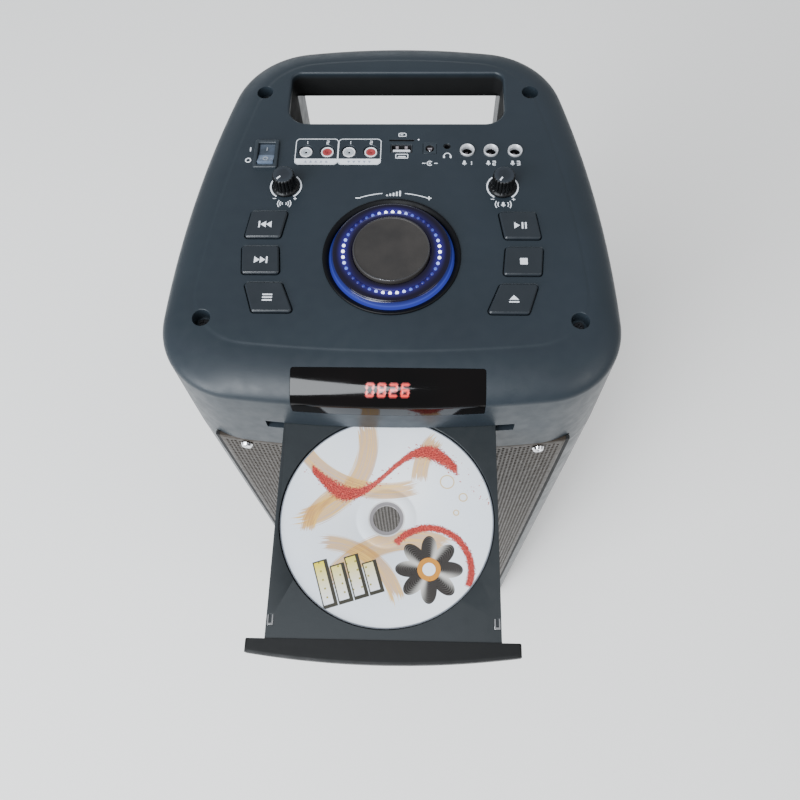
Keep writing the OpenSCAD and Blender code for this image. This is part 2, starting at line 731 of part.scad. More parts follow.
// Push button: cap through the panel, flange under it and stem down to its switch
module button(row, side) {
    p = button_rows[row];
    flange_t = 1.5;
    edge = 0.6;
    flange_top = panel_under - 0.3;
    flange_low = flange_top - flange_t;
    edge_low = body_h + button_up - edge;
    stem_low = board_top + switch_h + button_travel + 0.3;
    color([0.16, 0.17, 0.18]) mirror([side, 0, 0]) {
        translate([0, 0, flange_low]) linear_extrude(edge_low - flange_low) button_plan(p, -button_gap);
        translate([0, 0, edge_low - eps]) linear_extrude(edge) button_plan(p, -button_gap - 0.5);
        translate([0, 0, flange_low]) linear_extrude(flange_t) button_plan(p, 0.9);
        translate([mid(p).x - 2.5, mid(p).y - 2.5, stem_low]) cube([5, 5, flange_top - stem_low]);
    }
}
module play_button() { button(0, 0); }
module stop_button() { button(1, 0); }
module eject_button() { button(2, 0); }
module previous_button() { button(0, 1); }
module next_button() { button(1, 1); }
module mode_button() { button(2, 1); }

module rca_jack(x) {
    translate([x, rca_y, board_top]) difference() {
        union() {
            translate([-5.5, -6, 0]) cube([11, 12, 8]);
            cylinder(h = rca_h, r = rca_r);
        }
        translate([0, 0, 2]) cylinder(h = rca_h, r = 1.6);
        translate([0, 0, rca_h - 1]) cylinder(h = 2, r = 2.6);
    }
}
module rca_jacks_white() { color([0.9, 0.9, 0.88]) for (i = [0, 2]) rca_jack(rca_x[i]); }
module rca_jacks_red() { color([0.75, 0.15, 0.15]) for (i = [1, 3]) rca_jack(rca_x[i]); }

module usb_port() {
    color([0.75, 0.76, 0.78]) translate([usb_at.x, usb_at.y, board_top]) difference() {
        translate([-usb_size.x / 2, -usb_size.y / 2, 0]) cube([usb_size.x, usb_size.y, socket_h - 0.3]);
        // The shell's inside, less the tongue with the contacts
        translate([-usb_size.x / 2, -usb_size.y / 2, 0]) difference() {
            translate([0.5, 0.5, 4]) cube([usb_size.x - 1, usb_size.y - 1, socket_h]);
            translate([1.2, 0.9, 3]) cube([usb_size.x - 2.4, 1.9, 11.5]);
        }
    }
}
module card_reader() {
    color([0.5, 0.51, 0.53]) translate([card_at.x, card_at.y, board_top]) difference() {
        translate([-9, -1.6, 0]) cube([18, 4.6, 12.6]);
        translate([-card_size.x / 2 + 1, -card_size.y / 2, 2]) cube([card_size.x - 2, card_size.y, socket_h]);
    }
    color([0.9, 0.95, 1]) translate([dot_at.x, dot_at.y, board_top]) cylinder(h = socket_h, r = dot_r);
}
module dc_inlet() {
    color([0.1, 0.1, 0.1]) translate([dc_at.x, dc_at.y, board_top]) difference() {
        translate([-dc_size / 2, -dc_size / 2, 0]) cube([dc_size, dc_size, socket_h]);
        // Round hollow with the contact pin in its middle
        difference() {
            translate([0, 0, 7]) cylinder(h = socket_h, r = 2.8);
            cylinder(h = 14, r = 1);
        }
    }
}
module aux_jack() {
    color([0.1, 0.1, 0.1]) translate([aux_at.x, aux_at.y, board_top]) difference() {
        union() {
            translate([-4, -5, 0]) cube([8, 10, 10]);
            cylinder(h = socket_h, r = aux_ring_r);
        }
        translate([0, 0, 2]) cylinder(h = socket_h, r = aux_bore_r);
    }
}
mic_depth = 27;
module mic_jacks() {
    color([0.78, 0.79, 0.8]) for (p = mic_at) translate([p.x, p.y, body_h - mic_depth]) difference() {
        union() {
            cylinder(h = mic_depth - panel_t - 0.3, r = mic_body_r);
            cylinder(h = mic_depth + 1.2, r = mic_ring_r);
        }
        translate([0, 0, 2]) cylinder(h = mic_depth, r = mic_bore_r);
    }
}

amp_y = back_y - 25.5;
amp_z = 300;
amp_size = [140, 110];
amp_edge = 10;
module amplifier_board() {
    post_low = amp_y + board_t;
    color([0.1, 0.32, 0.16]) translate([-amp_size.x / 2, amp_y, amp_z]) {
        cube([amp_size.x, board_t, amp_size.y]);
        // Heat sink with its fins
        translate([amp_edge, -18 - eps, 20]) cube([60, 18, 70]);
        for (i = [0:8]) translate([amp_edge + 1 + 7 * i, -30, 20]) cube([1.6, 12, 70]);
    }
    color([0.1, 0.1, 0.1]) for (s = [-1, 1], z = [amp_edge, amp_size.y - amp_edge]) {
        x = s * (amp_size.x / 2 - amp_edge);
        translate([x, post_low, amp_z + z]) rotate([-90, 0, 0])
            cylinder(h = back_y - wall - post_low - 0.9 - x * x / (2 * back_bow_r), r = 4);
    }
}
battery = [150, 70, 60];
module battery_pack() {
    color([0.2, 0.25, 0.5]) translate([-battery.x / 2, -32, foot_h + bottom_t + fit]) cube(battery);
}

// Disc drive: fixed chassis with guide walls, clamp bridge and gear plate
chassis_in = tray_w / 2 + tray_play;
chassis_t = 4;
chassis_low = tray_under - 28;
chassis_top = disc_top + 9.5;
chassis_front = front_y + 14;
chassis_back = 57;
hinge_y = play_y + deck_arm;
hinge_z = tray_under - 6.8;
hinge_r = 2;
deck_tilt = asin(deck_lift / deck_arm);
clamp_r = 15;
module drive_chassis() {
    depth = chassis_back - chassis_front;
    color([0.13, 0.13, 0.14]) difference() {
        union() {
            for (s = [-1, 1]) {
                translate([s * (chassis_in + chassis_t / 2) - chassis_t / 2, chassis_front, chassis_low])
                    cube([chassis_t, depth, chassis_top - chassis_low]);
                translate([s * (chassis_in - 2) - 2.1, chassis_front, tray_under - tray_play - 2])
                    cube([4.2, depth, 2]);
                translate([s * (chassis_in - 2) - 2.1, chassis_front, tray_top + tray_play])
                    cube([4.2, depth, 1.6]);
            }
            translate([-chassis_in - eps, chassis_front + 10, chassis_top - 2])
                cube([2 * chassis_in + 2 * eps, depth - 10, 2]);
            translate([-chassis_in - chassis_t, chassis_front, chassis_low])
                cube([2 * (chassis_in + chassis_t), depth, 3]);
            for (s = [-1, 1]) {
                translate([s * (chassis_in + 1), chassis_front + 28, chassis_top - 1])
                    cylinder(h = panel_under - chassis_top + 1, r = 3);
                translate([s * (chassis_in + 1), chassis_back - 8, chassis_top - 1])
                    cylinder(h = board_top - board_t - chassis_top + 1, r = 3);
            }
        }
        // Floor opening that the deck and its motor drop into
        translate([-33, chassis_front + 26, chassis_low - 1]) cube([66, depth - 40, 5]);
        // Seat of the disc clamp
        translate([0, play_y, chassis_top - 3]) cylinder(h = 4, r = clamp_r - 3);
        // Hinge holes of the deck
        translate([0, hinge_y, hinge_z]) rotate([0, 90, 0])
            cylinder(h = 200, r = hinge_r + shaft_play, center = true);
        // Shaft hole of the drive gear
        translate([gear_at.x, gear_at.y, chassis_low - 1]) cylinder(h = 5, r = gear_shaft_r + shaft_play);
    }
}

// Gear that drives the tray's rack. Its pitch radius gives the coupling of its turn to the tray's travel
pinion_r = 10;
pinion_teeth = 20;
module_mm = 2 * pinion_r / pinion_teeth;
gear_shaft_r = 1.5;
gear_t = 2.2;
gear_at = [-46, front_y + 33.5];
rack_x = gear_at.x - pinion_r;
gear_top = tray_under + 1.9;
backlash = 0.12;
pressure = 20;
function involute(rb, t) = rb * [cos(t) + t * PI / 180 * sin(t), sin(t) - t * PI / 180 * cos(t)];
function turned(p, a) = [p.x * cos(a) - p.y * sin(a), p.x * sin(a) + p.y * cos(a)];
module gear_plan() {
    rb = pinion_r * cos(pressure);
    ro = pinion_r + 0.9 * module_mm;
    rr = pinion_r - 1.2 * module_mm;
    t_end = sqrt(ro * ro / (rb * rb) - 1) * 180 / PI;
    inv = (tan(pressure) - pressure * PI / 180) * 180 / PI;
    half = 90 / pinion_teeth - backlash / pinion_r * 90 / PI + inv;
    polygon([for (i = [0:pinion_teeth - 1]) let (a = 360 * i / pinion_teeth) each concat(
        [turned([rr, 0], a - half - 0.6)],
        [for (s = [0:4]) let (p = involute(rb, t_end * s / 4)) turned(p, a - half)],
        [for (s = [4:-1:0]) let (p = involute(rb, t_end * s / 4)) turned([p.x, -p.y], a + half)],
        [turned([rr, 0], a + half + 0.6)])]);
}
module drive_gear() {
    // Half a tooth pitch from the rack's tooth at the line of centres
    color([0.9, 0.9, 0.86]) translate([gear_at.x, gear_at.y, 0]) {
        rotate([0, 0, 180 + 180 / pinion_teeth]) translate([0, 0, gear_top - gear_t]) linear_extrude(gear_t)
            gear_plan();
        translate([0, 0, chassis_low + 3.3]) cylinder(h = gear_top - gear_t - chassis_low - 3.3 + eps, r = 5);
        translate([0, 0, chassis_low - 4]) cylinder(h = 8, r = gear_shaft_r);
    }
}
module tray_motor() {
    color([0.6, 0.6, 0.62]) translate([gear_at.x, gear_at.y, chassis_low]) difference() {
        union() {
            translate([-11, -12, -9]) cube([22, 34, 8.8]);
            translate([0, 16, -9]) cylinder(h = 8.8, r = 11.5);
        }
        translate([0, 0, -5]) cylinder(h = 10, r = gear_shaft_r + shaft_play);
    }
}

// Seat of an 80 mm disc, and the tray's opening for the spindle and the laser
small_disc_r = 40.3;
tray_window_r = 19;
tray_window_l = 57;
module tray_window() {
    translate([0, -disc_out]) circle(r = tray_window_r);
    translate([-tray_window_r, -disc_out]) square([2 * tray_window_r, tray_window_l]);
}
module tray() {
    floor_z = disc_under - 0.3;
    pitch = PI * module_mm;
    slope = tan(pressure);
    // Rack teeth: root depth, tip height and half widths at both
    root = 1.3 * module_mm;
    tip = 0.9 * module_mm;
    at_root = (pitch - backlash * 2) / 4 + root * slope;
    at_tip = (pitch - backlash * 2) / 4 - tip * slope;
    groove = [rack_x - root, gear_at.x + pinion_r + 2];
    teeth = floor((tray_l - 12) / pitch);
    first = ceil((tray_front + 6 - gear_at.y) / pitch);
    color([0.1, 0.1, 0.11]) {
        difference() {
            translate([-tray_w / 2, tray_front, tray_under]) cube([tray_w, tray_l, tray_t]);
            translate([0, -disc_out, floor_z]) cylinder(h = 10, r = disc_d / 2 + 0.6);
            translate([0, -disc_out, floor_z - 0.5]) cylinder(h = 10, r = small_disc_r);
            translate([0, 0, tray_under - 1]) linear_extrude(20) tray_window();
            translate([groove[0], tray_front + 3, tray_under - 1])
                cube([groove[1] - groove[0], tray_l - 3 + 1, 3.3]);
            translate([-tray_w / 2 + 10, tray_back - 30, tray_top - 3.4]) cube([tray_w - 20, 40, 5]);
            for (s = [-1, 1]) clip_place(s) translate([-0.1, -0.1, -0.4])
                cube([clip_size.x + 0.2, clip_size.y + 0.2, 2]);
        }
        // Rack teeth in the groove's outer wall
        translate([0, 0, tray_under + 0.2]) linear_extrude(gear_t) intersection() {
            for (i = [0:teeth - 1]) translate([rack_x, gear_at.y + (first + i) * pitch])
                polygon([[-root - eps, -at_root], [tip, -at_tip], [tip, at_tip], [-root - eps, at_root]]);
            translate([-tray_w / 2, tray_front + 3]) square([20, tray_l - 3]);
        }
    }
}
// Two bright clips near the tray's front corners
clip_size = [3.2, 5.6];
module clip_place(s) {
    translate([s * (tray_w / 2 - 2.2) - clip_size.x / 2, tray_front + 6.7, tray_top]) children();
}
module tray_bezel() {
    color([0.06, 0.06, 0.06]) translate([0, 0, bezel_low]) linear_extrude(bezel_h) polygon(concat(
        [[bezel_w / 2, tray_front - 0.5], [bezel_w / 2 - 0.5, tray_front], [-bezel_w / 2 + 0.5, tray_front],
            [-bezel_w / 2, tray_front - 0.5]],
        [for (i = [0:16]) let (x = -bezel_w / 2 + bezel_w * i / 16)
            [x, tray_front - bezel_d + 5 * (x / (bezel_w / 2)) ^ 2]]));
}
module tray_clips() {
    color([0.8, 0.8, 0.8]) for (s = [-1, 1]) clip_place(s) translate([0, 0, -0.4]) difference() {
        cube([clip_size.x, clip_size.y, 0.5]);
        translate([0.8, 1.2, -1]) cube([clip_size.x - 1.6, 5, 3]);
    }
}
module disc() {
    color([0.9, 0.9, 0.92]) translate([0, -disc_out, disc_under]) difference() {
        cylinder(h = disc_t, r = disc_d / 2);
        translate([0, 0, -1]) cylinder(h = disc_t + 2, r = disc_hole_d / 2);
        // Stacking groove round the hub
        translate([0, 0, disc_t - 0.15]) difference() {
            cylinder(h = 1, r = 17.5);
            cylinder(h = 3, r = 16.5, center = true);
        }
    }
}

// What sits on the deck is drawn in its raised, level place and tipped down by this
module deck_pose() {
    translate([0, hinge_y, hinge_z]) rotate([deck_tilt, 0, 0]) translate([0, -hinge_y, -hinge_z]) children();
}
deck_top = tray_under - 7.8;
deck_t = 2.5;
rail_x = 18;
rail_r = 1.25;
spindle_r = 1;
sled_y = play_y + 12.5;
module loader_deck() {
    color([0.16, 0.16, 0.17]) deck_pose() difference() {
        union() {
            translate([-28, play_y - 20, deck_top - deck_t]) cube([56, deck_arm + 20, deck_t]);
            translate([-28, hinge_y - 4.5, deck_top - deck_t]) cube([56, 8, 5]);
            translate([-chassis_in + 0.6, hinge_y - 3, deck_top - deck_t]) cube([2 * chassis_in - 1.2, 6, 5]);
            translate([0, hinge_y, hinge_z]) rotate([0, 90, 0])
                cylinder(h = 2 * (chassis_in + chassis_t) - 0.4, r = hinge_r, center = true);
            translate([0, play_y, deck_top - 9]) cylinder(h = 12.4, r = 12);
            for (s = [-1, 1], y = [sled_y - 2, hinge_y - 18])
                translate([s * rail_x - 2.5, y - 2, deck_top - deck_t]) cube([5, 4, 5.5]);
        }
        translate([-22.5, sled_y, deck_top - 6]) cube([45, hinge_y - 20 - sled_y, 12]);
        translate([0, play_y, deck_top - 7]) cylinder(h = 20, r = spindle_r + shaft_play);
        deck_rails();
    }
    color([0.75, 0.75, 0.77]) deck_pose() deck_rails();
}
// Two rods that the laser sled slides on
module deck_rails() {
    for (s = [-1, 1]) translate([s * rail_x, sled_y - 4.2, deck_top]) rotate([-90, 0, 0])
        cylinder(h = hinge_y - 14 - sled_y, r = rail_r);
}
module turntable() {
    cone_r = disc_hole_d / 2 - 0.25;
    color([0.1, 0.1, 0.1]) deck_pose() translate([0, play_y, 0]) {
        rotate_extrude() polygon([[0, disc_under - 2.3], [14.5, disc_under - 2.3], [14.5, disc_under - 0.3],
            [cone_r, disc_under - 0.3], [cone_r, disc_top], [5.5, disc_top + 1.6], [0, disc_top + 1.6]]);
        translate([0, 0, deck_top - 6.7]) cylinder(h = disc_under - deck_top + 5, r = spindle_r);
    }
}
module laser_sled() {
    color([0.2, 0.2, 0.22]) deck_pose() translate([0, sled_y + 1, deck_top]) difference() {
        union() {
            translate([-21.5, 0, -2.2]) cube([43, 18, 4.4]);
            translate([0, 9, 0]) cylinder(h = 6, r = 5);
        }
        for (s = [-1, 1]) translate([s * rail_x, -1, 0]) rotate([-90, 0, 0])
            cylinder(h = 20, r = rail_r + shaft_play);
    }
}
module disc_clamp() {
    color([0.12, 0.12, 0.13]) translate([0, play_y, 0]) {
        translate([0, 0, tray_top + 0.6]) cylinder(h = 2, r = clamp_r);
        translate([0, 0, tray_top + 2.5]) cylinder(h = chassis_top - tray_top - 2.2, r = clamp_r - 3.4);
        translate([0, 0, chassis_top + 0.3]) cylinder(h = 1.2, r = clamp_r - 1);
    }
}

top_shell();
cabinet_shell();
bottom_plate();
feet();
front_frame();
grille();
grille_screws();
front_baffle();
woofer_basket(high_woofer_z);  // upper_woofer_basket
woofer_cone(high_woofer_z);  // upper_woofer_cone
woofer_surround(high_woofer_z);  // upper_woofer_surround
woofer_magnet(high_woofer_z);  // upper_woofer_magnet
woofer_basket(low_woofer_z);  // lower_woofer_basket
woofer_cone(low_woofer_z);  // lower_woofer_cone
woofer_surround(low_woofer_z);  // lower_woofer_surround
woofer_magnet(low_woofer_z);  // lower_woofer_magnet
tweeter();
bass_port();
shell_screws();
display_lens();
display_board();
control_board();
dial_trim_ring();
light_ring();
led_ring();
led_dots();
volume_encoder();
volume_knob();
echo_pot();
echo_knob();
mic_volume_pot();
mic_volume_knob();
switch_frame();
power_rocker();
previous_button();
next_button();
mode_button();
play_button();
stop_button();
eject_button();
rca_jacks_white();
rca_jacks_red();
usb_port();
card_reader();
dc_inlet();
aux_jack();
mic_jacks();
amplifier_board();
battery_pack();
drive_chassis();
tray();
tray_bezel();
tray_clips();
disc();
drive_gear();
tray_motor();
loader_deck();
turntable();
laser_sled();
disc_clamp();
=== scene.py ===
"""Looks of a karaoke tower speaker with a sliding disc tray, a top control panel and a rear handle.

Shapes are worked out in millimetres and turned to metres when a mesh is made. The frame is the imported
model's: origin on the floor under the middle of the body, front towards -Y, up is +Z.
"""

import math

import bmesh
import bpy
import numpy as np
from mathutils import Matrix


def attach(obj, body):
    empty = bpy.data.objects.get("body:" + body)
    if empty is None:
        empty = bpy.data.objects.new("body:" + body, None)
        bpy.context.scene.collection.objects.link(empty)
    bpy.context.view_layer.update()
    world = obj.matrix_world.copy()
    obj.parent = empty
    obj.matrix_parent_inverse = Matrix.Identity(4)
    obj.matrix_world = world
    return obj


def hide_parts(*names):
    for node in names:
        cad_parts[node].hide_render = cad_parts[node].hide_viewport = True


bl_info = {
    "name": "Karaoke tower speaker",
    "version": (1, 0, 0),
    "blender": (4, 5, 0),
    "location": "3D View > Sidebar > Karaoke",
    "description": "Builds and finishes the visible pieces of a karaoke tower speaker",
    "category": "Object",
}

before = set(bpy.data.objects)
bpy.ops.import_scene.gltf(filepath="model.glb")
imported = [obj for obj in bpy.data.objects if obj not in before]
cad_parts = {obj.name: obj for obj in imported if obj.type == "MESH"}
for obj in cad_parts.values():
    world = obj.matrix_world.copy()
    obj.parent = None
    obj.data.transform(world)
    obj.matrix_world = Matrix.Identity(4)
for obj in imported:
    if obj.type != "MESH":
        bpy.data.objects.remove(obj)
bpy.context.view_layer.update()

MM = 0.001
FRONT_W, BACK_W = 270.6, 225.0
FRONT_Y, BACK_Y = -137.5, 137.5
TOP_Z, SEAM_Z, FOOT_Z = 700.0, 615.0, 10.0
FRONT_BOW, BACK_BOW, SIDE_BOW = 800.0, 460.0, 750.0
FRONT_CORNER, BACK_CORNER = 50.0, 57.0
WALL, PANEL_T = 4.0, 3.5
SHOULDER_H, STEP_H, DRAFT = 12.0, 0.4, 1.5
SHOULDER_SIDE, SHOULDER_FRONT, SHOULDER_BACK = 20.0, 31.0, 19.5
PANEL_CORNER_CUT = 16.0
GRIP_W, GRIP_FRONT, GRIP_BACK, GRIP_BAR_H = 140.8, 61.1, 105.1, 24.0
GRILLE_LOW, GRILLE_TOP, GRILLE_GAP, WINDOW_W = 42.0, 628.5, 2.5, 224.0
DIAL = (0.0, -41.5)
DIAL_R, KNOB_R, LED_R, LIGHTS = 41.1, 23.0, 28.6, 44
SMALL_KNOBS = {"echo": (-67.2, 9.0), "mic_volume": (67.2, 9.0)}
SMALL_KNOB_H = 11.5
ROCKER = (-81.8, 34.2)
PHONO_X, PHONO_Y = (-56.9, -43.2, -29.3, -15.4), 37.7
PHONE_AT = ((45.8, 38.4), (60.8, 38.2), (76.0, 38.0))
LINE_AT, USB_AT, CARD_AT, DOT_AT, POWER_AT = (33.1, 42.0), (4.1, 40.0), (4.15, 46.6), (14.9, 47.2), (22.1,
                                                                                                     39.9)
SCREWS_AT = ((87.8, 88.0), (-87.8, 88.0), (108.4, -85.0), (-108.4, -85.0))
BUTTONS = {
    "play": ((67.2, -29.8), (89.2, -29.8), (86.5, -10.0), (64.0, -10.0)),
    "stop": ((65.6, -55.4), (88.0, -55.4), (89.8, -35.7), (67.6, -35.7)),
    "eject": ((55.4, -81.4), (79.5, -81.4), (86.0, -61.4), (63.5, -61.4)),
}
OPPOSITE = {"play": "previous", "stop": "next", "eject": "mode"}
DISC_Y, DISC_TOP, DISC_T, DISC_R = -190.5, 660.0, 1.2, 60.0
SLOT_W, SLOT_LOW, SLOT_TOP = 147.0, 654.0, 662.5
BEZEL_W, BEZEL_LOW, BEZEL_TOP, TRAY_AHEAD = 145.0, 654.4, 662.1, 66.0
UPPER_DRIVER_Z, LOWER_DRIVER_Z, PORT_Z = 490.0, 160.0, 90.0
STEP_W, SHEET_IN, KNOB_LIFT = 2.4, 0.4, 0.4
BUTTON_UP, BUTTON_GAP, BUTTON_HOLE = 1.5, 0.1, 0.45
SOCKET_BASE, PHONO_TOP, PHONE_UP = 683.6, 699.4, 1.2
DIAL_SIDES, FULL_TURN = 160, 6.2832
FOCAL_PX, FRAME_PX, SENSOR_MM = 764.554, 800, 36.0
FOCAL_MM = SENSOR_MM * FOCAL_PX / FRAME_PX
PITCH, YAW, ROLL = 1.14848464, 0.07452695, -0.05633861
CAMERA_AT = (0.01985, -0.30496, 1.07824)
LENS_W, LENS_BACK, LENS_LOW = 108.6, -115.5, 680.0


def srgb(red, green, blue):
    """Linear colour from 0 to 255 values: each is divided by 255 and raised to 2.2"""
    return tuple((v / 255) ** 2.2 for v in (red, green, blue))


class KaraokeSizes(bpy.types.PropertyGroup):
    """Sizes of the fine details"""
    print_height: bpy.props.FloatProperty(name="Print height", description="Thickness of the printed marks",
                                          default=0.00006, min=0.00002, max=0.0002, unit="LENGTH")
    hole_across: bpy.props.FloatProperty(name="Hole spacing across",
                                         description="Distance between columns of holes", default=0.00267,
                                         min=0.002, max=0.006, unit="LENGTH")
    hole_up: bpy.props.FloatProperty(name="Hole spacing upwards",
                                     description="Distance between holes in a column", default=0.00308,
                                     min=0.002, max=0.006, unit="LENGTH")
    hole_radius: bpy.props.FloatProperty(name="Hole radius", description="Radius of a hole in the grille",
                                         default=0.00098, min=0.0005, max=0.002, unit="LENGTH")


class KaraokeColours(bpy.types.PropertyGroup):
    """Colours of the main finishes"""
    shell: bpy.props.FloatVectorProperty(name="Shell", description="Moulded top shell and cabinet",
                                         default=srgb(38, 45, 51), subtype="COLOR", min=0, max=1)
    grille: bpy.props.FloatVectorProperty(name="Grille", description="Painted steel of the grille",
                                          default=srgb(50, 44, 38), subtype="COLOR", min=0, max=1)
    light: bpy.props.FloatVectorProperty(name="Dial light", description="Light round the volume dial",
                                         default=srgb(58, 68, 166), subtype="COLOR", min=0, max=1)
    digits: bpy.props.FloatVectorProperty(name="Digits", description="Lit digits of the display",
                                          default=srgb(250, 52, 38), subtype="COLOR", min=0, max=1)
    phono_red: bpy.props.FloatVectorProperty(name="Red sockets",
                                             description="Inserts of the red phono sockets",
                                             default=srgb(152, 62, 64), subtype="COLOR", min=0, max=1)
    marks: bpy.props.FloatVectorProperty(name="Printed marks", description="White print on the panel",
                                         default=srgb(226, 230, 236), subtype="COLOR", min=0, max=1)


def sizes():
    return bpy.context.scene.karaoke_sizes


def colours():
    return bpy.context.scene.karaoke_colours


class Finish:
    """A material under construction, with short ways to add and join its nodes"""

    def __init__(self, name):
        self.material = bpy.data.materials.new(name)
        self.material.use_nodes = True
        self.tree = self.material.node_tree
        self.shader = self.tree.nodes["Principled BSDF"]
        self.place = self.add("ShaderNodeTexCoord").outputs["Object"]

    def add(self, kind, inputs=None, **settings):
        node = self.tree.nodes.new(kind)
        for key, value in settings.items():
            setattr(node, key, value)
        for key, value in (inputs or {}).items():
            self.feed(node.inputs[key], value)
        return node

    def feed(self, socket, value):
        if isinstance(value, bpy.types.NodeSocket):
            self.tree.links.new(value, socket)
        else:
            socket.default_value = value

    def set(self, **values):
        for key, value in values.items():
            socket = self.shader.inputs[key.replace("_", " ")]
            colour = isinstance(value, tuple) and len(value) == 3
            self.feed(socket, (*value, 1.0) if colour else value)

    def math(self, operation, a, b=0.0, c=0.0):
        return self.add("ShaderNodeMath", {0: a, 1: b, 2: c}, operation=operation).outputs[0]

    def times(self, a, b):
        return self.math("MULTIPLY", a, b)

    def plus(self, a, b):
        return self.math("ADD", a, b)

    def minus(self, a, b):
        return self.math("SUBTRACT", a, b)

    def distance(self, dx, dy):
        return self.math("SQRT", self.plus(self.times(dx, dx), self.times(dy, dy)))

    def noise(self, scale, detail=2.0, stretch=(1, 1, 1), offset=(0, 0, 0)):
        place = self.add("ShaderNodeMapping", {"Vector": self.place, "Scale": stretch, "Location": offset})
        return self.add("ShaderNodeTexNoise", {"Vector": place.outputs[0], "Scale": scale,
                                               "Detail": detail}).outputs["Fac"]

    def span(self, value, low, high, start=0.3, end=0.7):
        return self.add("ShaderNodeMapRange", {"Value": value, "From Min": start, "From Max": end,
                                               "To Min": low, "To Max": high}).outputs["Result"]

    def blend(self, factor, first, second):
        node = self.add("ShaderNodeMix", data_type="RGBA")
        for socket, value in ((node.inputs[0], factor), (node.inputs[6], first), (node.inputs[7], second)):
            self.feed(socket, (*value, 1.0) if isinstance(value, tuple) and len(value) == 3 else value)
        return node.outputs[2]

    def drift(self, noise, first, second):
        """Colour that goes from one to the other as a noise does"""
        return self.blend(self.span(self.noise(*noise), 0, 1), first, second)

    def relief(self, height, depth, under=None):
        inputs = {"Height": height, "Distance": depth * MM, "Strength": 1.0}
        if under is not None:
            inputs["Normal"] = under
        return self.add("ShaderNodeBump", inputs).outputs["Normal"]

    def axes(self):
        split = self.add("ShaderNodeSeparateXYZ", {0: self.place})
        return split.outputs[0], split.outputs[1], split.outputs[2]


def shade(colour, factor):
    return tuple(min(1.0, v * factor) for v in colour)


def moulded(name, colour, rough, grain=0.35, depth=0.02, tone=0.12, metal=0.0, coat=0.0, spec=0.5,
            spread=0.06):
    """Moulded, painted or plated finish: colour drifts over a few centimetres, gloss over a few millimetres,
    and a fine grain stands up as relief"""
    f = Finish(name)
    f.set(Base_Color=f.drift((22, 4), shade(colour, 1 - tone), shade(colour, 1 + tone)), Metallic=metal,
          Coat_Weight=coat, Coat_Roughness=0.12, Specular_IOR_Level=spec,
          Roughness=f.span(f.noise(140, 3), rough - spread, rough + spread))
    coarse = f.relief(f.noise(260, 2), depth * 1.5)
    f.set(Normal=f.relief(f.noise(1000 / grain, 2), depth, coarse))
    return f.material


def shell_plastic(name):
    """Moulded shell, duller inside the hand opening and painted darker there as painted shade, with a soft
    start under its mouth
    """
    f = Finish(name)
    x, y, z = f.axes()
    # Painted shade: inside the hand opening the colour is darkened towards near black, where shade falls
    inside = f.times(f.span(y, 0, 1, (GRIP_FRONT - 1.5) * MM, (GRIP_FRONT + 0.5) * MM),
                     f.span(y, 1, 0, (GRIP_BACK + 0.6) * MM, (GRIP_BACK + 1.2) * MM))
    inside = f.times(inside, f.span(z, 1, 0, (TOP_Z - 5) * MM, (TOP_Z - 1.2) * MM))
    inside = f.times(inside, f.span(f.math("ABSOLUTE", x), 1, 0, (GRIP_W / 2 + 0.5) * MM,
                                    (GRIP_W / 2 + 1) * MM))
    shell = tuple(colours().shell)
    drift = f.drift((22, 4), shade(shell, 0.93), shade(shell, 1.07))
    f.set(Base_Color=f.blend(inside, drift, srgb(8, 9, 10)),
          Roughness=f.math("MULTIPLY_ADD", inside, 0.4, f.span(f.noise(140, 3), 0.37, 0.47)),
          Specular_IOR_Level=0.38,
          Normal=f.relief(f.noise(2000, 2), 0.012, f.relief(f.noise(260, 2), 0.018)))
    return f.material


def rocker_plastic(name):
    """Rocker: polished plastic with a faint random mottle; the half raised towards the front is painted
    paler as a painted highlight for the light it catches
    """
    f = Finish(name)
    x, y, z = f.axes()
    # Painted highlight: the front half is coloured paler for the light it catches, mixed with a faint random
    # mottle
    half = f.span(y, 1, 0, (ROCKER[1] - 0.5) * MM, (ROCKER[1] + 0.5) * MM)
    mottle_and_painted_highlight = f.math("MULTIPLY_ADD", f.span(f.noise(160, 3), 0, 1), 0.25, f.times(half, 0.75))
    f.set(Base_Color=f.blend(mottle_and_painted_highlight, srgb(50, 57, 65), srgb(104, 118, 138)),
          Roughness=f.span(f.noise(300, 2), 0.3, 0.4), Normal=f.relief(f.noise(1800, 2), 0.004))
    return f.material


def grille_paint(name):
    """Satin paint on steel: warm dark colour that drifts slowly, with paler flakes"""
    f = Finish(name)
    paint = tuple(colours().grille)
    flakes = f.span(f.noise(2600, 1), 0, 1, 0.55, 0.75)
    broad = f.drift((9, 3), shade(paint, 0.8), shade(paint, 1.15))
    f.set(Base_Color=f.blend(flakes, broad, shade(paint, 1.9)), Metallic=0.2, Specular_IOR_Level=0.3,
          Roughness=f.span(f.noise(300, 3), 0.34, 0.5), Normal=f.relief(f.noise(1500, 2), 0.012))
    return f.material


def plated(name, colour, rough, lines=(1, 1, 1)):
    """Bare or plated metal: fine drawn lines along one direction in gloss and relief"""
    f = Finish(name)
    drawn = f.noise(900, 4, lines)
    f.set(Base_Color=f.drift((60, 3), shade(colour, 0.88), shade(colour, 1.08)), Metallic=1.0,
          Roughness=f.span(drawn, rough * 0.7, rough * 1.4), Normal=f.relief(drawn, 0.004))
    return f.material


def knob_cap(name):
    """Anodised cap: matte brown-grey, turned marks round the dial's middle"""
    f = Finish(name)
    x, y, z = f.axes()
    away = f.distance(x, f.minus(y, DIAL[1] * MM))
    rings = f.math("SINE", f.times(away, 42000.0))
    grain = f.noise(2400, 2)
    f.set(Base_Color=f.drift((70, 4), srgb(50, 48, 47), srgb(60, 57, 55)), Metallic=0.3,
          Roughness=f.span(grain, 0.46, 0.6), Normal=f.relief(f.plus(rings, grain), 0.0025))
    return f.material


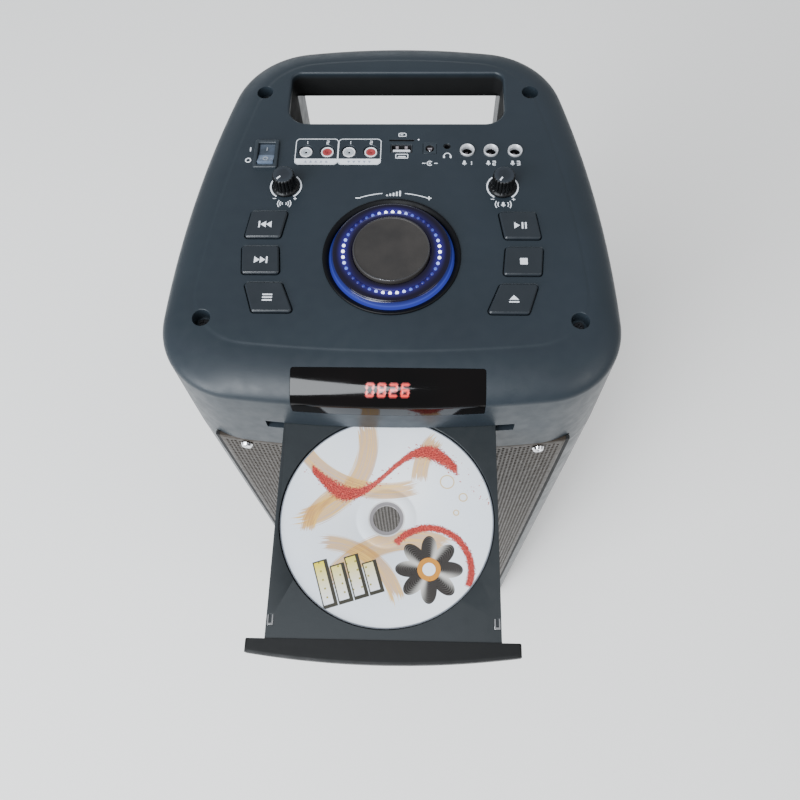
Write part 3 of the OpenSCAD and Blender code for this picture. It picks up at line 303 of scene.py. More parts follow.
def lamp(name, colour, strength, low=0.5, scale=60.0):
    """Lit plastic: the light is uneven over a few millimetres, under a glossy skin"""
    f = Finish(name)
    f.set(Base_Color=shade(colour, 0.5), Emission_Color=f.drift((scale, 3), shade(colour, low), colour),
          Emission_Strength=strength, Roughness=0.2, Coat_Weight=0.6)
    return f.material


def ring_light(name):
    """Side-lit clear ring: deep blue, fading towards the back as painted shade where the trim ring
    overshadows it, with a paler line low on its wall
    """
    f = Finish(name)
    blue = tuple(colours().light)
    x, y, z = f.axes()
    # Painted shade: the light falls off towards the back, where the trim ring overshadows the ring
    front = f.span(y, 1.0, 0.05, (DIAL[1] - 20) * MM, (DIAL[1] + 26) * MM)
    height = f.span(z, 1.0, 0.12, (TOP_Z + 1.6) * MM, (TOP_Z + 3.9) * MM)
    off_line = f.math("ABSOLUTE", f.minus(z, (TOP_Z + 1.5) * MM))
    line = f.math("MAXIMUM", f.math("MULTIPLY_ADD", off_line, -1600.0, 1.0), 0.0)
    f.set(Base_Color=shade(blue, 0.12), Roughness=0.16, Coat_Weight=0.2, Specular_IOR_Level=0.3,
          Emission_Color=f.blend(f.times(line, 0.4), blue, srgb(96, 118, 226)),
          Emission_Strength=f.times(front, f.times(height, 0.95)))
    return f.material


def dot_light(name):
    """Small lights round the knob: their own brightness, kept on the piece as the attribute named glow"""
    f = Finish(name)
    glow = f.add("ShaderNodeAttribute", attribute_name="glow").outputs["Fac"]
    blue = f.blend(f.math("POWER", glow, 0.6), srgb(62, 62, 176), srgb(118, 152, 255))
    f.set(Base_Color=srgb(20, 20, 60), Roughness=0.3,
          Emission_Color=f.blend(f.span(glow, 0, 1, 0.45, 0.95), blue, srgb(240, 246, 255)),
          Emission_Strength=f.math("MULTIPLY_ADD", glow, 3.2, 0.5))
    return f.material


def dial_black(name):
    """Glossy black ring with painted light: a faint violet glow over all of it and a stronger one next to
    the dots, strongest at their bright clusters, for the dots' light falling on it
    """
    f = Finish(name)
    x, y, z = f.axes()
    dy = f.minus(y, DIAL[1] * MM)
    away = f.distance(x, dy)
    off = f.math("ABSOLUTE", f.minus(away, LED_R * MM))
    # Painted light: the dots' violet light spilling onto the black ring, given as emission
    painted_dot_spill = f.math("POWER", f.math("MAXIMUM", f.math("MULTIPLY_ADD", off, -240.0, 1.0), 0.0), 1.4)
    wave = f.math("MULTIPLY_ADD", f.math("COSINE", f.times(f.math("ARCTAN2", dy, x), 4.0)), 0.35, 0.65)
    f.set(Base_Color=srgb(16, 14, 20), Roughness=f.span(f.noise(120, 2), 0.12, 0.22),
          Specular_IOR_Level=0.35, Emission_Color=f.blend(f.times(painted_dot_spill, wave), srgb(26, 22, 44),
                                                          srgb(66, 58, 176)), Emission_Strength=0.85)
    return f.material


def knob_black(name):
    """Black fluted plastic whose flat top is a paler grey"""
    f = Finish(name)
    x, y, z = f.axes()
    top = f.span(z, 0, 1, (TOP_Z + SMALL_KNOB_H + 0.05) * MM, (TOP_Z + SMALL_KNOB_H + 0.35) * MM)
    f.set(Base_Color=f.blend(top, srgb(9, 10, 12), f.blend(f.noise(80, 3), srgb(34, 38, 43),
                                                           srgb(50, 55, 61))),
          Roughness=f.span(f.noise(300, 2), 0.38, 0.5), Specular_IOR_Level=0.35,
          Normal=f.relief(f.noise(2600, 2), 0.008))
    return f.material


def display_black(name):
    """Smoked display window: nearly black, glossy, with a faint smear in its gloss"""
    f = Finish(name)
    f.set(Base_Color=f.drift((30, 3), srgb(6, 4, 5), srgb(14, 9, 9)),
          Roughness=f.span(f.noise(40, 4, (1, 4, 4)), 0.04, 0.1), Specular_IOR_Level=0.28,
          Normal=f.relief(f.noise(25, 2), 0.05))
    return f.material


def circuit(name):
    """Printed circuit: green lacquer over copper tracks, drawn as the edges of square cells"""
    f = Finish(name)
    place = f.add("ShaderNodeMapping", {"Vector": f.place, "Scale": (1, 1, 0.05)})
    cells = f.add("ShaderNodeTexVoronoi", {"Vector": place.outputs[0], "Scale": 160.0},
                  feature="DISTANCE_TO_EDGE", distance="EUCLIDEAN").outputs["Distance"]
    tracks = f.span(cells, 1, 0, 0.02, 0.05)
    f.set(Base_Color=f.blend(tracks, srgb(18, 70, 38), srgb(52, 118, 60)), Roughness=0.35, Coat_Weight=0.4,
          Normal=f.relief(tracks, 0.03))
    return f.material


def fibre_board(name):
    """Fibre board of the baffle: brown, with short fibres and darker specks"""
    f = Finish(name)
    fibre = f.noise(700, 5, (1, 1, 0.25))
    f.set(Base_Color=f.blend(f.span(fibre, 0, 1), srgb(84, 64, 44), srgb(140, 110, 78)), Roughness=0.82,
          Normal=f.relief(fibre, 0.06))
    return f.material


def paper_cone(name, height):
    """Pressed paper of a driver's cone: black fibres and faint ribs round the driver's middle"""
    f = Finish(name)
    x, y, z = f.axes()
    turn = f.math("ARCTAN2", f.minus(z, height * MM), x)
    ribs = f.math("SINE", f.times(turn, 72.0))
    fibre = f.noise(900, 5)
    f.set(Base_Color=f.blend(f.span(fibre, 0, 1), srgb(24, 24, 26), srgb(48, 47, 48)), Roughness=0.75,
          Normal=f.relief(f.math("MULTIPLY_ADD", ribs, 0.4, fibre), 0.08))
    return f.material


def battery_wrap(name):
    """Shrink film round the cells: blue, with creases across and the cells showing through as ridges"""
    f = Finish(name)
    x, y, z = f.axes()
    cells = f.math("ABSOLUTE", f.math("SINE", f.times(x, 170.0)))
    creases = f.noise(120, 5, (1, 0.3, 2))
    f.set(Base_Color=f.blend(f.span(creases, 0, 1), srgb(28, 44, 112), srgb(52, 78, 160)), Roughness=0.3,
          Coat_Weight=0.5, Normal=f.relief(f.math("MULTIPLY_ADD", creases, 0.5, cells), 0.9))
    return f.material


def disc_print(name):
    """Printed disc: bluish white ground, ochre brush strokes, a dark rosette, red glitter ribbons and
    yellow bars. Each motif is a range of radius and angle, or of distances, from Object coordinates"""
    f = Finish(name)
    x, y, z = f.axes()
    across = f.times(x, 1000.0)
    along = f.math("MULTIPLY_ADD", y, 1000.0, -DISC_Y)
    grit = f.noise(1100, 3)

    def polar(cx, cy):
        dx, dy = f.minus(across, cx), f.minus(along, cy)
        return f.distance(dx, dy), f.math("ARCTAN2", dy, dx)

    def between(value, low, high, soft):
        rise = f.add("ShaderNodeMapRange", {"Value": value, "From Min": low - soft, "From Max": low + soft})
        fall = f.add("ShaderNodeMapRange", {"Value": value, "From Min": high - soft, "From Max": high + soft,
                                            "To Min": 1.0, "To Max": 0.0})
        return f.times(rise.outputs[0], fall.outputs[0])

    def speckled(value, amount):
        return f.math("MULTIPLY_ADD", f.minus(grit, 0.5), amount, value)

    def streaks(r, t):
        """Bristle lines that run along an arc: noise over radius, stretched along the angle"""
        place = f.add("ShaderNodeCombineXYZ", {0: f.times(r, 1.5), 1: f.times(t, 1.6)})
        return f.add("ShaderNodeTexNoise", {"Vector": place.outputs[0], "Scale": 1.0,
                                            "Detail": 3.0}).outputs["Fac"]

    colour = f.drift((16, 3), srgb(228, 236, 246), srgb(244, 248, 250))
    # Ochre brush strokes: arcs of large circles whose ends thin out
    for cx, cy, radius, width, start, end in ((-58, 44, 46, 5.5, -1.35, 0.25), (14, -62, 50, 6.0, 1.2, 2.6),
                                              (-2, 74, 58, 4.5, 3.75, 5.0 - FULL_TURN),
                                              (58, 22, 40, 4.8, 2.45, 3.1), (-34, -58, 44, 4.0, 0.35, 1.55),
                                              (-20, -8, 24, 3.6, 1.9, 3.1)):
        r, t = polar(cx, cy)
        if end < start:
            t = f.plus(t, f.times(f.math("LESS_THAN", t, 0.0), FULL_TURN))
            end += FULL_TURN
        lines = streaks(r, t)
        edge = f.math("MULTIPLY_ADD", f.minus(lines, 0.5), 5.0, r)
        ends = f.math("MULTIPLY_ADD", f.minus(lines, 0.5), 0.5, t)
        stroke_area = f.times(between(edge, radius - width, radius + width, 0.5),
                              between(ends, start, end, 0.02))
        paint = f.blend(f.span(lines, 0, 1, 0.32, 0.66), srgb(168, 104, 34), srgb(232, 186, 96))
        colour = f.blend(f.times(stroke_area, f.span(lines, 0.6, 0.97)), colour, paint)
    # Dark rosette: eight petals, radius 11 + 7 |cos 4t|, with pale gleams across it
    r, t = polar(24, -28)
    reach = f.math("MULTIPLY_ADD", f.math("ABSOLUTE", f.math("COSINE", f.times(t, 4.0))), 7.0, 11.5)
    petals = f.minus(r, reach)
    gleam = f.math("POWER", f.math("ABSOLUTE", f.math("COSINE", f.times(f.plus(t, 0.4), 2.0))), 10.0)
    veins = f.math("MULTIPLY_ADD", f.math("SINE", f.times(petals, 5.0)), 0.1, gleam)
    dark = f.blend(veins, srgb(38, 33, 31), srgb(196, 194, 188))
    colour = f.blend(f.times(between(petals, -40, 0, 0.15), f.math("GREATER_THAN", r, 3.6)), colour, dark)
    colour = f.blend(between(r, 3.6, 6.4, 0.1), colour, srgb(196, 132, 52))
    # Red glitter: a ribbon that swings across the disc, a bow beside the rosette and loose grains round both
    glitter = f.blend(f.span(f.noise(1700, 2), 0, 1, 0.4, 0.56), srgb(92, 26, 26), srgb(202, 74, 66))
    wave = f.minus(along, f.math("MULTIPLY_ADD", f.math("SINE", f.times(across, 0.075)), 13.0, 27.0))
    swell = f.times(wave, f.math("MULTIPLY_ADD", f.math("COSINE", f.times(across, 0.11)), 0.35, 0.8))
    for area in (f.times(between(speckled(swell, 3.4), -2.2, 2.2, 0.4), between(across, -44, 40, 0.6)),
                 f.times(between(speckled(r, 3.6), 21.0, 25.0, 0.4), between(t, -0.4, 2.5, 0.03))):
        colour = f.blend(area, colour, glitter)
    grains = f.times(f.math("GREATER_THAN", f.noise(620, 1), 0.69), between(wave, -7, 7, 1.0))
    colour = f.blend(grains, colour, srgb(190, 96, 84))
    # Yellow bars with a dark edge and side, turned a little; every bar is lower than the last
    turned_x = f.plus(f.times(across, 0.95), f.times(along, 0.3))
    turned_y = f.minus(f.times(along, 0.95), f.times(across, 0.3))
    fade = f.blend(f.span(turned_y, 0, 1, -36, -14), srgb(238, 240, 246), srgb(232, 214, 66))
    lamps = f.times(f.math("GREATER_THAN", f.math("SINE", f.times(turned_x, 1.3)), 0.8),
                    f.math("GREATER_THAN", f.math("SINE", f.times(turned_y, 1.3)), 0.8))
    face = f.blend(lamps, fade, srgb(150, 140, 60))
    for i, top in enumerate((-13, -17.5, -15, -21)):
        left = -45 + 8.6 * i
        for x0, x1, y0, y1, paint in ((left - 0.7, left + 7.4, -38.4, top + 0.8, srgb(58, 56, 48)),
                                      (left, left + 5.4, -36.4, top, face)):
            colour = f.blend(f.times(between(turned_x, x0, x1, 0.12), between(turned_y, y0, y1, 0.12)),
                             colour, paint)
    # Pale ochre rings in the open ground, clear inner ring and clear rim
    for cx, cy, radius in ((34, 22, 4.2), (43, 13, 2.6), (39, 4, 1.8)):
        r, t = polar(cx, cy)
        colour = f.blend(between(r, radius - 0.7, radius, 0.1), colour, srgb(214, 188, 140))
    r, t = polar(0, 0)
    colour = f.blend(between(r, 0, 10.1, 0.08), colour, srgb(128, 124, 126))
    colour = f.blend(between(r, 9.6, 10.4, 0.08), colour, srgb(206, 206, 206))
    colour = f.blend(between(r, 59.2, 61, 0.06), colour, srgb(120, 124, 132))
    f.set(Base_Color=colour, Roughness=f.span(f.noise(400, 3), 0.26, 0.38), Coat_Weight=0.25,
          Coat_Roughness=0.1, Normal=f.relief(f.noise(700, 3), 0.004))
    return f.material


def floor_paint(name):
    """Plain pale floor with a very faint drift in tone"""
    f = Finish(name)
    f.set(Base_Color=f.drift((0.8, 3), (0.93, 0.92, 0.9), (0.96, 0.95, 0.93)),
          Emission_Color=(1.0, 0.985, 0.96), Emission_Strength=0.14, Roughness=0.85)
    return f.material


BLACK = srgb(20, 20, 22)


def maker(kind, first, *numbers, **named):
    """Function of a name that makes a material of one kind. A colour may be given as a property's name"""
    def made(name):
        colour = tuple(getattr(colours(), first)) if isinstance(first, str) else first
        return kind(name, colour, *numbers, **named)
    return made


MAKERS = {
    "shell": shell_plastic,
    "cabinet": maker(moulded, "shell", 0.38, 0.6, 0.012, 0.07, spec=0.36),
    "grille": grille_paint,
    "frame black": maker(moulded, BLACK, 0.5, 0.4, 0.015),
    "matte black": maker(moulded, srgb(30, 31, 34), 0.55, 0.3, 0.02),
    "knob black": knob_black,
    "slate": maker(moulded, srgb(40, 47, 53), 0.4, 0.4, 0.01, 0.06),
    "button": maker(moulded, srgb(36, 41, 46), 0.34, 0.4, 0.01, 0.06),
    "rocker": rocker_plastic,
    "trim black": maker(moulded, srgb(8, 9, 14), 0.5, 0.4, 0.004, 0.1, spec=0.2),
    "satin nickel": maker(moulded, srgb(206, 208, 212), 0.42, 0.5, 0.004, 0.06, metal=0.5),
    "polished edge": maker(plated, srgb(120, 120, 124), 0.16),
    "tray": maker(moulded, srgb(31, 36, 39), 0.5, 0.35, 0.02, 0.06),
    "bezel": maker(moulded, srgb(14, 15, 16), 0.52, 0.3, 0.02, 0.06, spec=0.3),
    "rubber": maker(moulded, srgb(22, 22, 22), 0.8, 0.7, 0.06),
    "phono grey": maker(moulded, srgb(168, 174, 180), 0.3, 0.6, 0.004, 0.08),
    "phono deep red": maker(moulded, srgb(120, 40, 42), 0.4, 0.6, 0.004, 0.08),
    "contact": maker(moulded, srgb(158, 150, 154), 0.35, 0.6, 0.004, 0.06),
    "phono white": maker(moulded, srgb(225, 226, 230), 0.3, 0.6, 0.004, 0.05),
    "phono red": maker(moulded, "phono_red", 0.3, 0.6, 0.004, 0.08),
    "white plastic": maker(moulded, srgb(220, 224, 230), 0.4, 0.5, 0.006, 0.05),
    "gear white": maker(moulded, srgb(226, 224, 212), 0.42, 0.5, 0.01, 0.05),
    "ferrite": maker(moulded, srgb(40, 40, 42), 0.62, 0.9, 0.06),
    "screw black": maker(moulded, srgb(52, 52, 55), 0.35, 0.5, 0.006, metal=0.8),
    "dull nickel": maker(plated, srgb(140, 144, 150), 0.3),
    "stamped steel": maker(plated, srgb(150, 152, 156), 0.34, (1, 0.2, 1)),
    "dark steel": maker(moulded, srgb(44, 44, 47), 0.4, 0.6, 0.02, metal=0.4),
    "nickel": maker(plated, srgb(206, 208, 214), 0.2),
    "chrome": maker(plated, srgb(226, 228, 232), 0.1),
    "marks": maker(moulded, "marks", 0.5, 0.25, 0.004, 0.05),
    "field grey": maker(moulded, srgb(150, 156, 172), 0.5, 0.25, 0.004, 0.05),
    "dull marks": maker(moulded, srgb(150, 154, 160), 0.5, 0.25, 0.004, 0.05),
    "knob cap": knob_cap,
    "ring light": ring_light,
    "dot light": dot_light,
    "dial black": dial_black,
    "digits": maker(lamp, "digits", 1.35, 0.6, 400.0),
    "digit glow": maker(lamp, srgb(130, 20, 18), 0.7, 0.5, 300.0),
    "white light": maker(lamp, srgb(235, 240, 255), 2.0, 0.7),
    "display black": display_black,
    "circuit": circuit,
    "fibre board": fibre_board,
    "upper cone": maker(paper_cone, UPPER_DRIVER_Z),
    "lower cone": maker(paper_cone, LOWER_DRIVER_Z),
    "battery wrap": battery_wrap,
    "disc print": disc_print,
    "floor": floor_paint,
}


def finish(name):
    """The material of that name, made at its first use"""
    return bpy.data.materials.get(name) or MAKERS[name](name)


# Outlines in the plan
def arc(centre, radius, start, end, steps):
    """Points centre + radius (cos t, sin t), with t in degrees from start to end"""
    t = np.radians(np.linspace(start, end, steps + 1))
    return np.asarray(centre) + radius * np.column_stack((np.cos(t), np.sin(t)))


def heading(v):
    return math.degrees(math.atan2(v[1], v[0]))


def half_plan(front_w, back_w, front_y, back_y, front_r, back_r):
    """Right half of a body outline: front bow, front corner, side bow, back corner and back bow, each an arc
    tangent to the next. A bow's centre is where its radius less the corner's reaches the corner's centre"""
    of, ob = np.array([0, front_y + FRONT_BOW]), np.array([0, back_y - BACK_BOW])
    xf, xb = front_w / 2 - front_r, back_w / 2 - back_r
    cf = np.array([xf, of[1] - math.sqrt((FRONT_BOW - front_r) ** 2 - xf ** 2)])
    cb = np.array([xb, ob[1] + math.sqrt((BACK_BOW - back_r) ** 2 - xb ** 2)])
    gap = np.linalg.norm(cb - cf)
    lean = ((SIDE_BOW - front_r) ** 2 - (SIDE_BOW - back_r) ** 2 + gap ** 2) / (2 * gap)
    rise = math.sqrt((SIDE_BOW - front_r) ** 2 - lean ** 2)
    u = (cb - cf) / gap
    side = cf + lean * u + rise * np.array([-u[1], u[0]])
    a1, a2, a3, a4 = heading(cf - of), heading(cf - side), heading(cb - side), heading(cb - ob)
    pieces = (arc(of, FRONT_BOW, -90, a1, 24), arc(cf, front_r, a1, a2, 22), arc(side, SIDE_BOW, a2, a3, 22),
              arc(cb, back_r, a3, a4, 20), arc(ob, BACK_BOW, a4, 90, 14))
    return np.vstack([pieces[0]] + [p[1:] for p in pieces[1:]])


def whole(half):
    """Closed outline from its right half and that half's mirror image"""
    return np.vstack((half, half[-2:0:-1] * (-1, 1)))


def wall_plan(inset):
    return whole(half_plan(FRONT_W - 2 * inset, BACK_W - 2 * inset, FRONT_Y + inset, BACK_Y - inset,
                           FRONT_CORNER - inset, BACK_CORNER - inset))


def panel_plan(inset):
    return whole(half_plan(FRONT_W - 2 * SHOULDER_SIDE - 2 * inset, BACK_W - 2 * SHOULDER_SIDE - 2 * inset,
                           FRONT_Y + SHOULDER_FRONT + inset, BACK_Y - SHOULDER_BACK - inset,
                           FRONT_CORNER - PANEL_CORNER_CUT, BACK_CORNER - PANEL_CORNER_CUT))


def bowed(x):
    """How far the front bow lies behind its own middle: R - square root of (R squared - x squared)"""
    return FRONT_BOW - np.sqrt(FRONT_BOW ** 2 - x ** 2)


def level(outline, z):
    """Outline at one height"""
    return np.column_stack((outline, np.full(len(outline), z)))


def round_box(width, depth, front_r, back_r, grow=0.0, at=(0, 0), steps=8):
    """Rectangle with round corners, grown outwards by a margin"""
    w, d, f, b = width / 2 + grow, depth / 2 + grow, max(front_r + grow, 0.05), max(back_r + grow, 0.05)
    return np.asarray(at) + np.vstack((arc((w - f, -d + f), f, -90, 0, steps),
                                       arc((w - b, d - b), b, 0, 90, steps),
                                       arc((-w + b, d - b), b, 90, 180, steps),
                                       arc((-w + f, -d + f), f, 180, 270, steps)))


def rect(width, depth, radius, at=(0, 0), steps=8):
    """Rectangle with four like round corners"""
    return round_box(width, depth, radius, radius, 0, at, steps)


def button_outline(corners, grow, radius=2.0, steps=6):
    """Four-sided outline whose round corners are arcs tangent to their two sides, grown outwards"""
    p = np.asarray(corners, float)
    parts = []
    for i in range(4):
        a, b = p[i - 1] - p[i], p[(i + 1) % 4] - p[i]
        a, b = a / np.linalg.norm(a), b / np.linalg.norm(b)
        half = math.degrees(math.acos(float(a @ b))) / 2
        inward = (a + b) / np.linalg.norm(a + b)
        start = heading((-a[1], a[0]))
        parts.append(arc(p[i] + inward * radius / math.sin(math.radians(half)), radius + grow, start,
                         start + 180 - 2 * half, steps))
    return np.vstack(parts)


# Shapes: a pair of points and groups of faces with one number of corners each
def grid_faces(rows, columns, wrap_rows=False):
    """Quads of a grid of points that closes on itself across its columns"""
    r, c = np.meshgrid(np.arange(rows if wrap_rows else rows - 1), np.arange(columns), indexing="ij")
    up, right = (r + 1) % rows, (c + 1) % columns
    return np.stack((r * columns + c, r * columns + right, up * columns + right, up * columns + c),
                    -1).reshape(-1, 4)


def stack(rings):
    """Closed form through level or bent rings with equal numbers of points, lowest first"""
    rings = np.asarray(rings, float)
    m, n = rings.shape[:2]
    return rings.reshape(-1, 3), [grid_faces(m, n), np.arange(n)[::-1][None],
                                  (np.arange(n) + (m - 1) * n)[None]]


def prism(outline, low, high):
    return stack([level(outline, low), level(outline, high)])


def block(width, depth, radius, at, low, high):
    """Upright block on a rectangle with round corners"""
    return prism(rect(width, depth, radius, at), low, high)


def turned(profile, at=(0, 0), z=0.0, sides=96):
    """Profile of (radius, height) points turned about a vertical axis: x = r cos t, y = r sin t.
    The profile runs anticlockwise, and is a closed loop unless it starts and ends on the axis"""
    profile = np.asarray(profile, float)
    open_ended = profile[0, 0] == 0
    body = profile[1:-1] if open_ended else profile
    t = np.linspace(0, 2 * np.pi, sides, endpoint=False)
    r, h = body[:, :1], body[:, 1:]
    points = np.stack((at[0] + r * np.cos(t), at[1] + r * np.sin(t), z + h + 0 * t), -1).reshape(-1, 3)
    groups = [grid_faces(len(body), sides, not open_ended)]
    if open_ended:
        c, last = np.arange(sides), (len(body) - 1) * sides
        n = (c + 1) % sides
        low = len(points)
        points = np.vstack((points, [at[0], at[1], z + profile[0, 1]], [at[0], at[1], z + profile[-1, 1]]))
        groups += [np.stack((n, c, low + 0 * c), -1), np.stack((c + last, n + last, low + 1 + 0 * c), -1)]
    return points, groups


def join(*shapes):
    """One shape from several, their points stacked and their faces renumbered"""
    points, groups, base = [], [], 0
    for p, g in shapes:
        points.append(p)
        groups += [faces + base for faces in g]
        base += len(p)
    return np.vstack(points), groups


def moved(shape, matrix):
    points, groups = shape
    m = np.array(matrix)
    return points @ m[:3, :3].T + m[:3, 3], groups


def fillet(inset, z, radius, steps=4):
    """Points (growth, height) of a side that rounds over at its top, from vertical to level"""
    t = np.radians(np.linspace(0, 90, steps + 1))
    return [(-inset - radius * (1 - c), z - radius * (1 - s)) for c, s in zip(np.cos(t), np.sin(t))]


def mesh_of(name, shape):
    points, groups = shape
    mesh = bpy.data.meshes.new(name)
    mesh.vertices.add(len(points))
    mesh.vertices.foreach_set("co", (points * MM).astype(np.float32).ravel())
    corners = np.concatenate([g.ravel() for g in groups]).astype(np.int32)
    counts = np.concatenate([np.full(len(g), g.shape[1]) for g in groups])
    mesh.loops.add(len(corners))
    mesh.loops.foreach_set("vertex_index", corners)
    mesh.polygons.add(len(counts))
    mesh.polygons.foreach_set("loop_start", np.concatenate(([0], np.cumsum(counts)[:-1])).astype(np.int32))
    mesh.update(calc_edges=True)
    mesh.validate()
    return mesh


def make(name, shape):
    """Object at the origin with the shape's mesh"""
    piece = bpy.data.objects.new(name, mesh_of(name, shape))
    bpy.context.scene.collection.objects.link(piece)
    return piece


def dress(piece, body, finish_name, nodes=(), sharp=32):
    """Gives a piece its material and shading, and ties it to its body and the nodes it stands for"""
    piece.data.materials.clear()
    piece.data.materials.append(finish(finish_name))
    piece.data.shade_smooth()
    piece.data.set_sharp_from_angle(angle=math.radians(sharp))
    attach(piece, body)
    if nodes:
        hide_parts(*nodes)
    return piece


def add(name, shape, finish_name, nodes=(), sharp=32, body="body"):
    """Dressed piece made from a shape, on the fixed body unless another is named"""
    return dress(make(name, shape), body, finish_name, nodes, sharp)


def carve(piece, cutter, operation="DIFFERENCE"):
    """Takes a cutter's shape out of a piece, or keeps what both share"""
    tool = make("cutter", cutter) if isinstance(cutter, tuple) else cutter
    step = piece.modifiers.new("carve", "BOOLEAN")
    step.operation, step.solver, step.object = operation, "EXACT", tool
    bpy.context.view_layer.update()
    result = bpy.data.meshes.new_from_object(piece.evaluated_get(bpy.context.evaluated_depsgraph_get()))
    piece.modifiers.clear()
    old, piece.data = piece.data, result
    name = old.name
    bpy.data.meshes.remove(old)
    result.name = name
    tool_mesh = tool.data
    bpy.data.objects.remove(tool)
    bpy.data.meshes.remove(tool_mesh)
    if not len(result.polygons):
        raise RuntimeError(f"{piece.name}: nothing is left of it after carving")
    return piece


def softened(node, finish_name, body, width=0.25, segments=2, sharp=32):
    """A node's own shape as one clean mesh with its edges rounded: its triangles are merged, flat faces are
    joined, and a bevel runs along every edge sharper than the limit"""
    work = bmesh.new()
    work.from_mesh(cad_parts[node].data)
    bmesh.ops.remove_doubles(work, verts=work.verts, dist=2e-6)
    bmesh.ops.dissolve_limit(work, angle_limit=math.radians(0.4), verts=work.verts, edges=work.edges)
    mesh = bpy.data.meshes.new(f"{node}_piece")
    work.to_mesh(mesh)
    work.free()
    piece = bpy.data.objects.new(f"{node}_piece", mesh)
    bpy.context.scene.collection.objects.link(piece)
    dress(piece, body, finish_name, (node,), sharp)
    bevel = piece.modifiers.new("edges", "BEVEL")
    bevel.width, bevel.segments = width * MM, segments
    bevel.limit_method, bevel.angle_limit = "ANGLE", math.radians(35)
    bevel.harden_normals = False
    return piece


def refinish(node, finish_name):
    """Gives a node its material and leaves its mesh alone"""
    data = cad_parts[node].data
    data.materials.clear()
    data.materials.append(finish(finish_name))


# Pieces
def top_stack(inset, low, steps):
    """Rings of the top shell's form: a leaning wall, a shoulder whose plan goes from wall to panel as the
    cosine to the power 1.15 while its height rises as the sine, and a soft step up to the flat panel"""
    wall_in, flat_in = wall_plan(DRAFT + inset), panel_plan(inset)
    base = TOP_Z - SHOULDER_H - inset
    lower = wall_plan(inset)
    rings = [level(lower * (1 - t) + wall_in * t, low + (base - low) * t) for t in np.linspace(0, 1, 5)]
    for a in np.radians(np.linspace(0, 90, steps + 1))[1:]:
        out = max(math.cos(a), 0.0) ** 1.15 if a < math.pi / 2 - 1e-6 else 0.0
        rings.append(level(flat_in * (1 - out) + wall_in * out, base + (SHOULDER_H - STEP_H) * math.sin(a)))
    for u in (0.25, 0.5, 0.75, 1.0):
        rings.append(level(panel_plan(inset + STEP_W * u),
                           TOP_Z - inset - STEP_H * (1 - u * u * (3 - 2 * u))))
    return stack(rings)


def hole(outline, top=TOP_Z, depth=PANEL_T + 2.0, ease=0.35):
    """Cutter for an opening in the panel that flares at its mouth; outline is a function of its growth"""
    t = np.radians(np.linspace(0, 80, 4))
    rings = [level(outline(0.0), top - depth)]
    rings += [level(outline(ease * (1 - math.cos(a))), top - ease * (1 - math.sin(a))) for a in t]
    rings.append(level(outline(ease * 1.1), top + 3))
    return stack(rings)


def disc_outline(at, radius, steps=48):
    return lambda grow: arc(at, radius + grow, 0, 360 - 360 / steps, steps - 1)


def box_outline(at, size, radius):
    return lambda grow: round_box(size[0], size[1], radius, radius, grow, at)


def lens_outline(grow):
    depth = LENS_BACK - FRONT_Y + 5
    return round_box(LENS_W, depth, 0.1, 1.4, grow, (0, LENS_BACK - depth / 2))


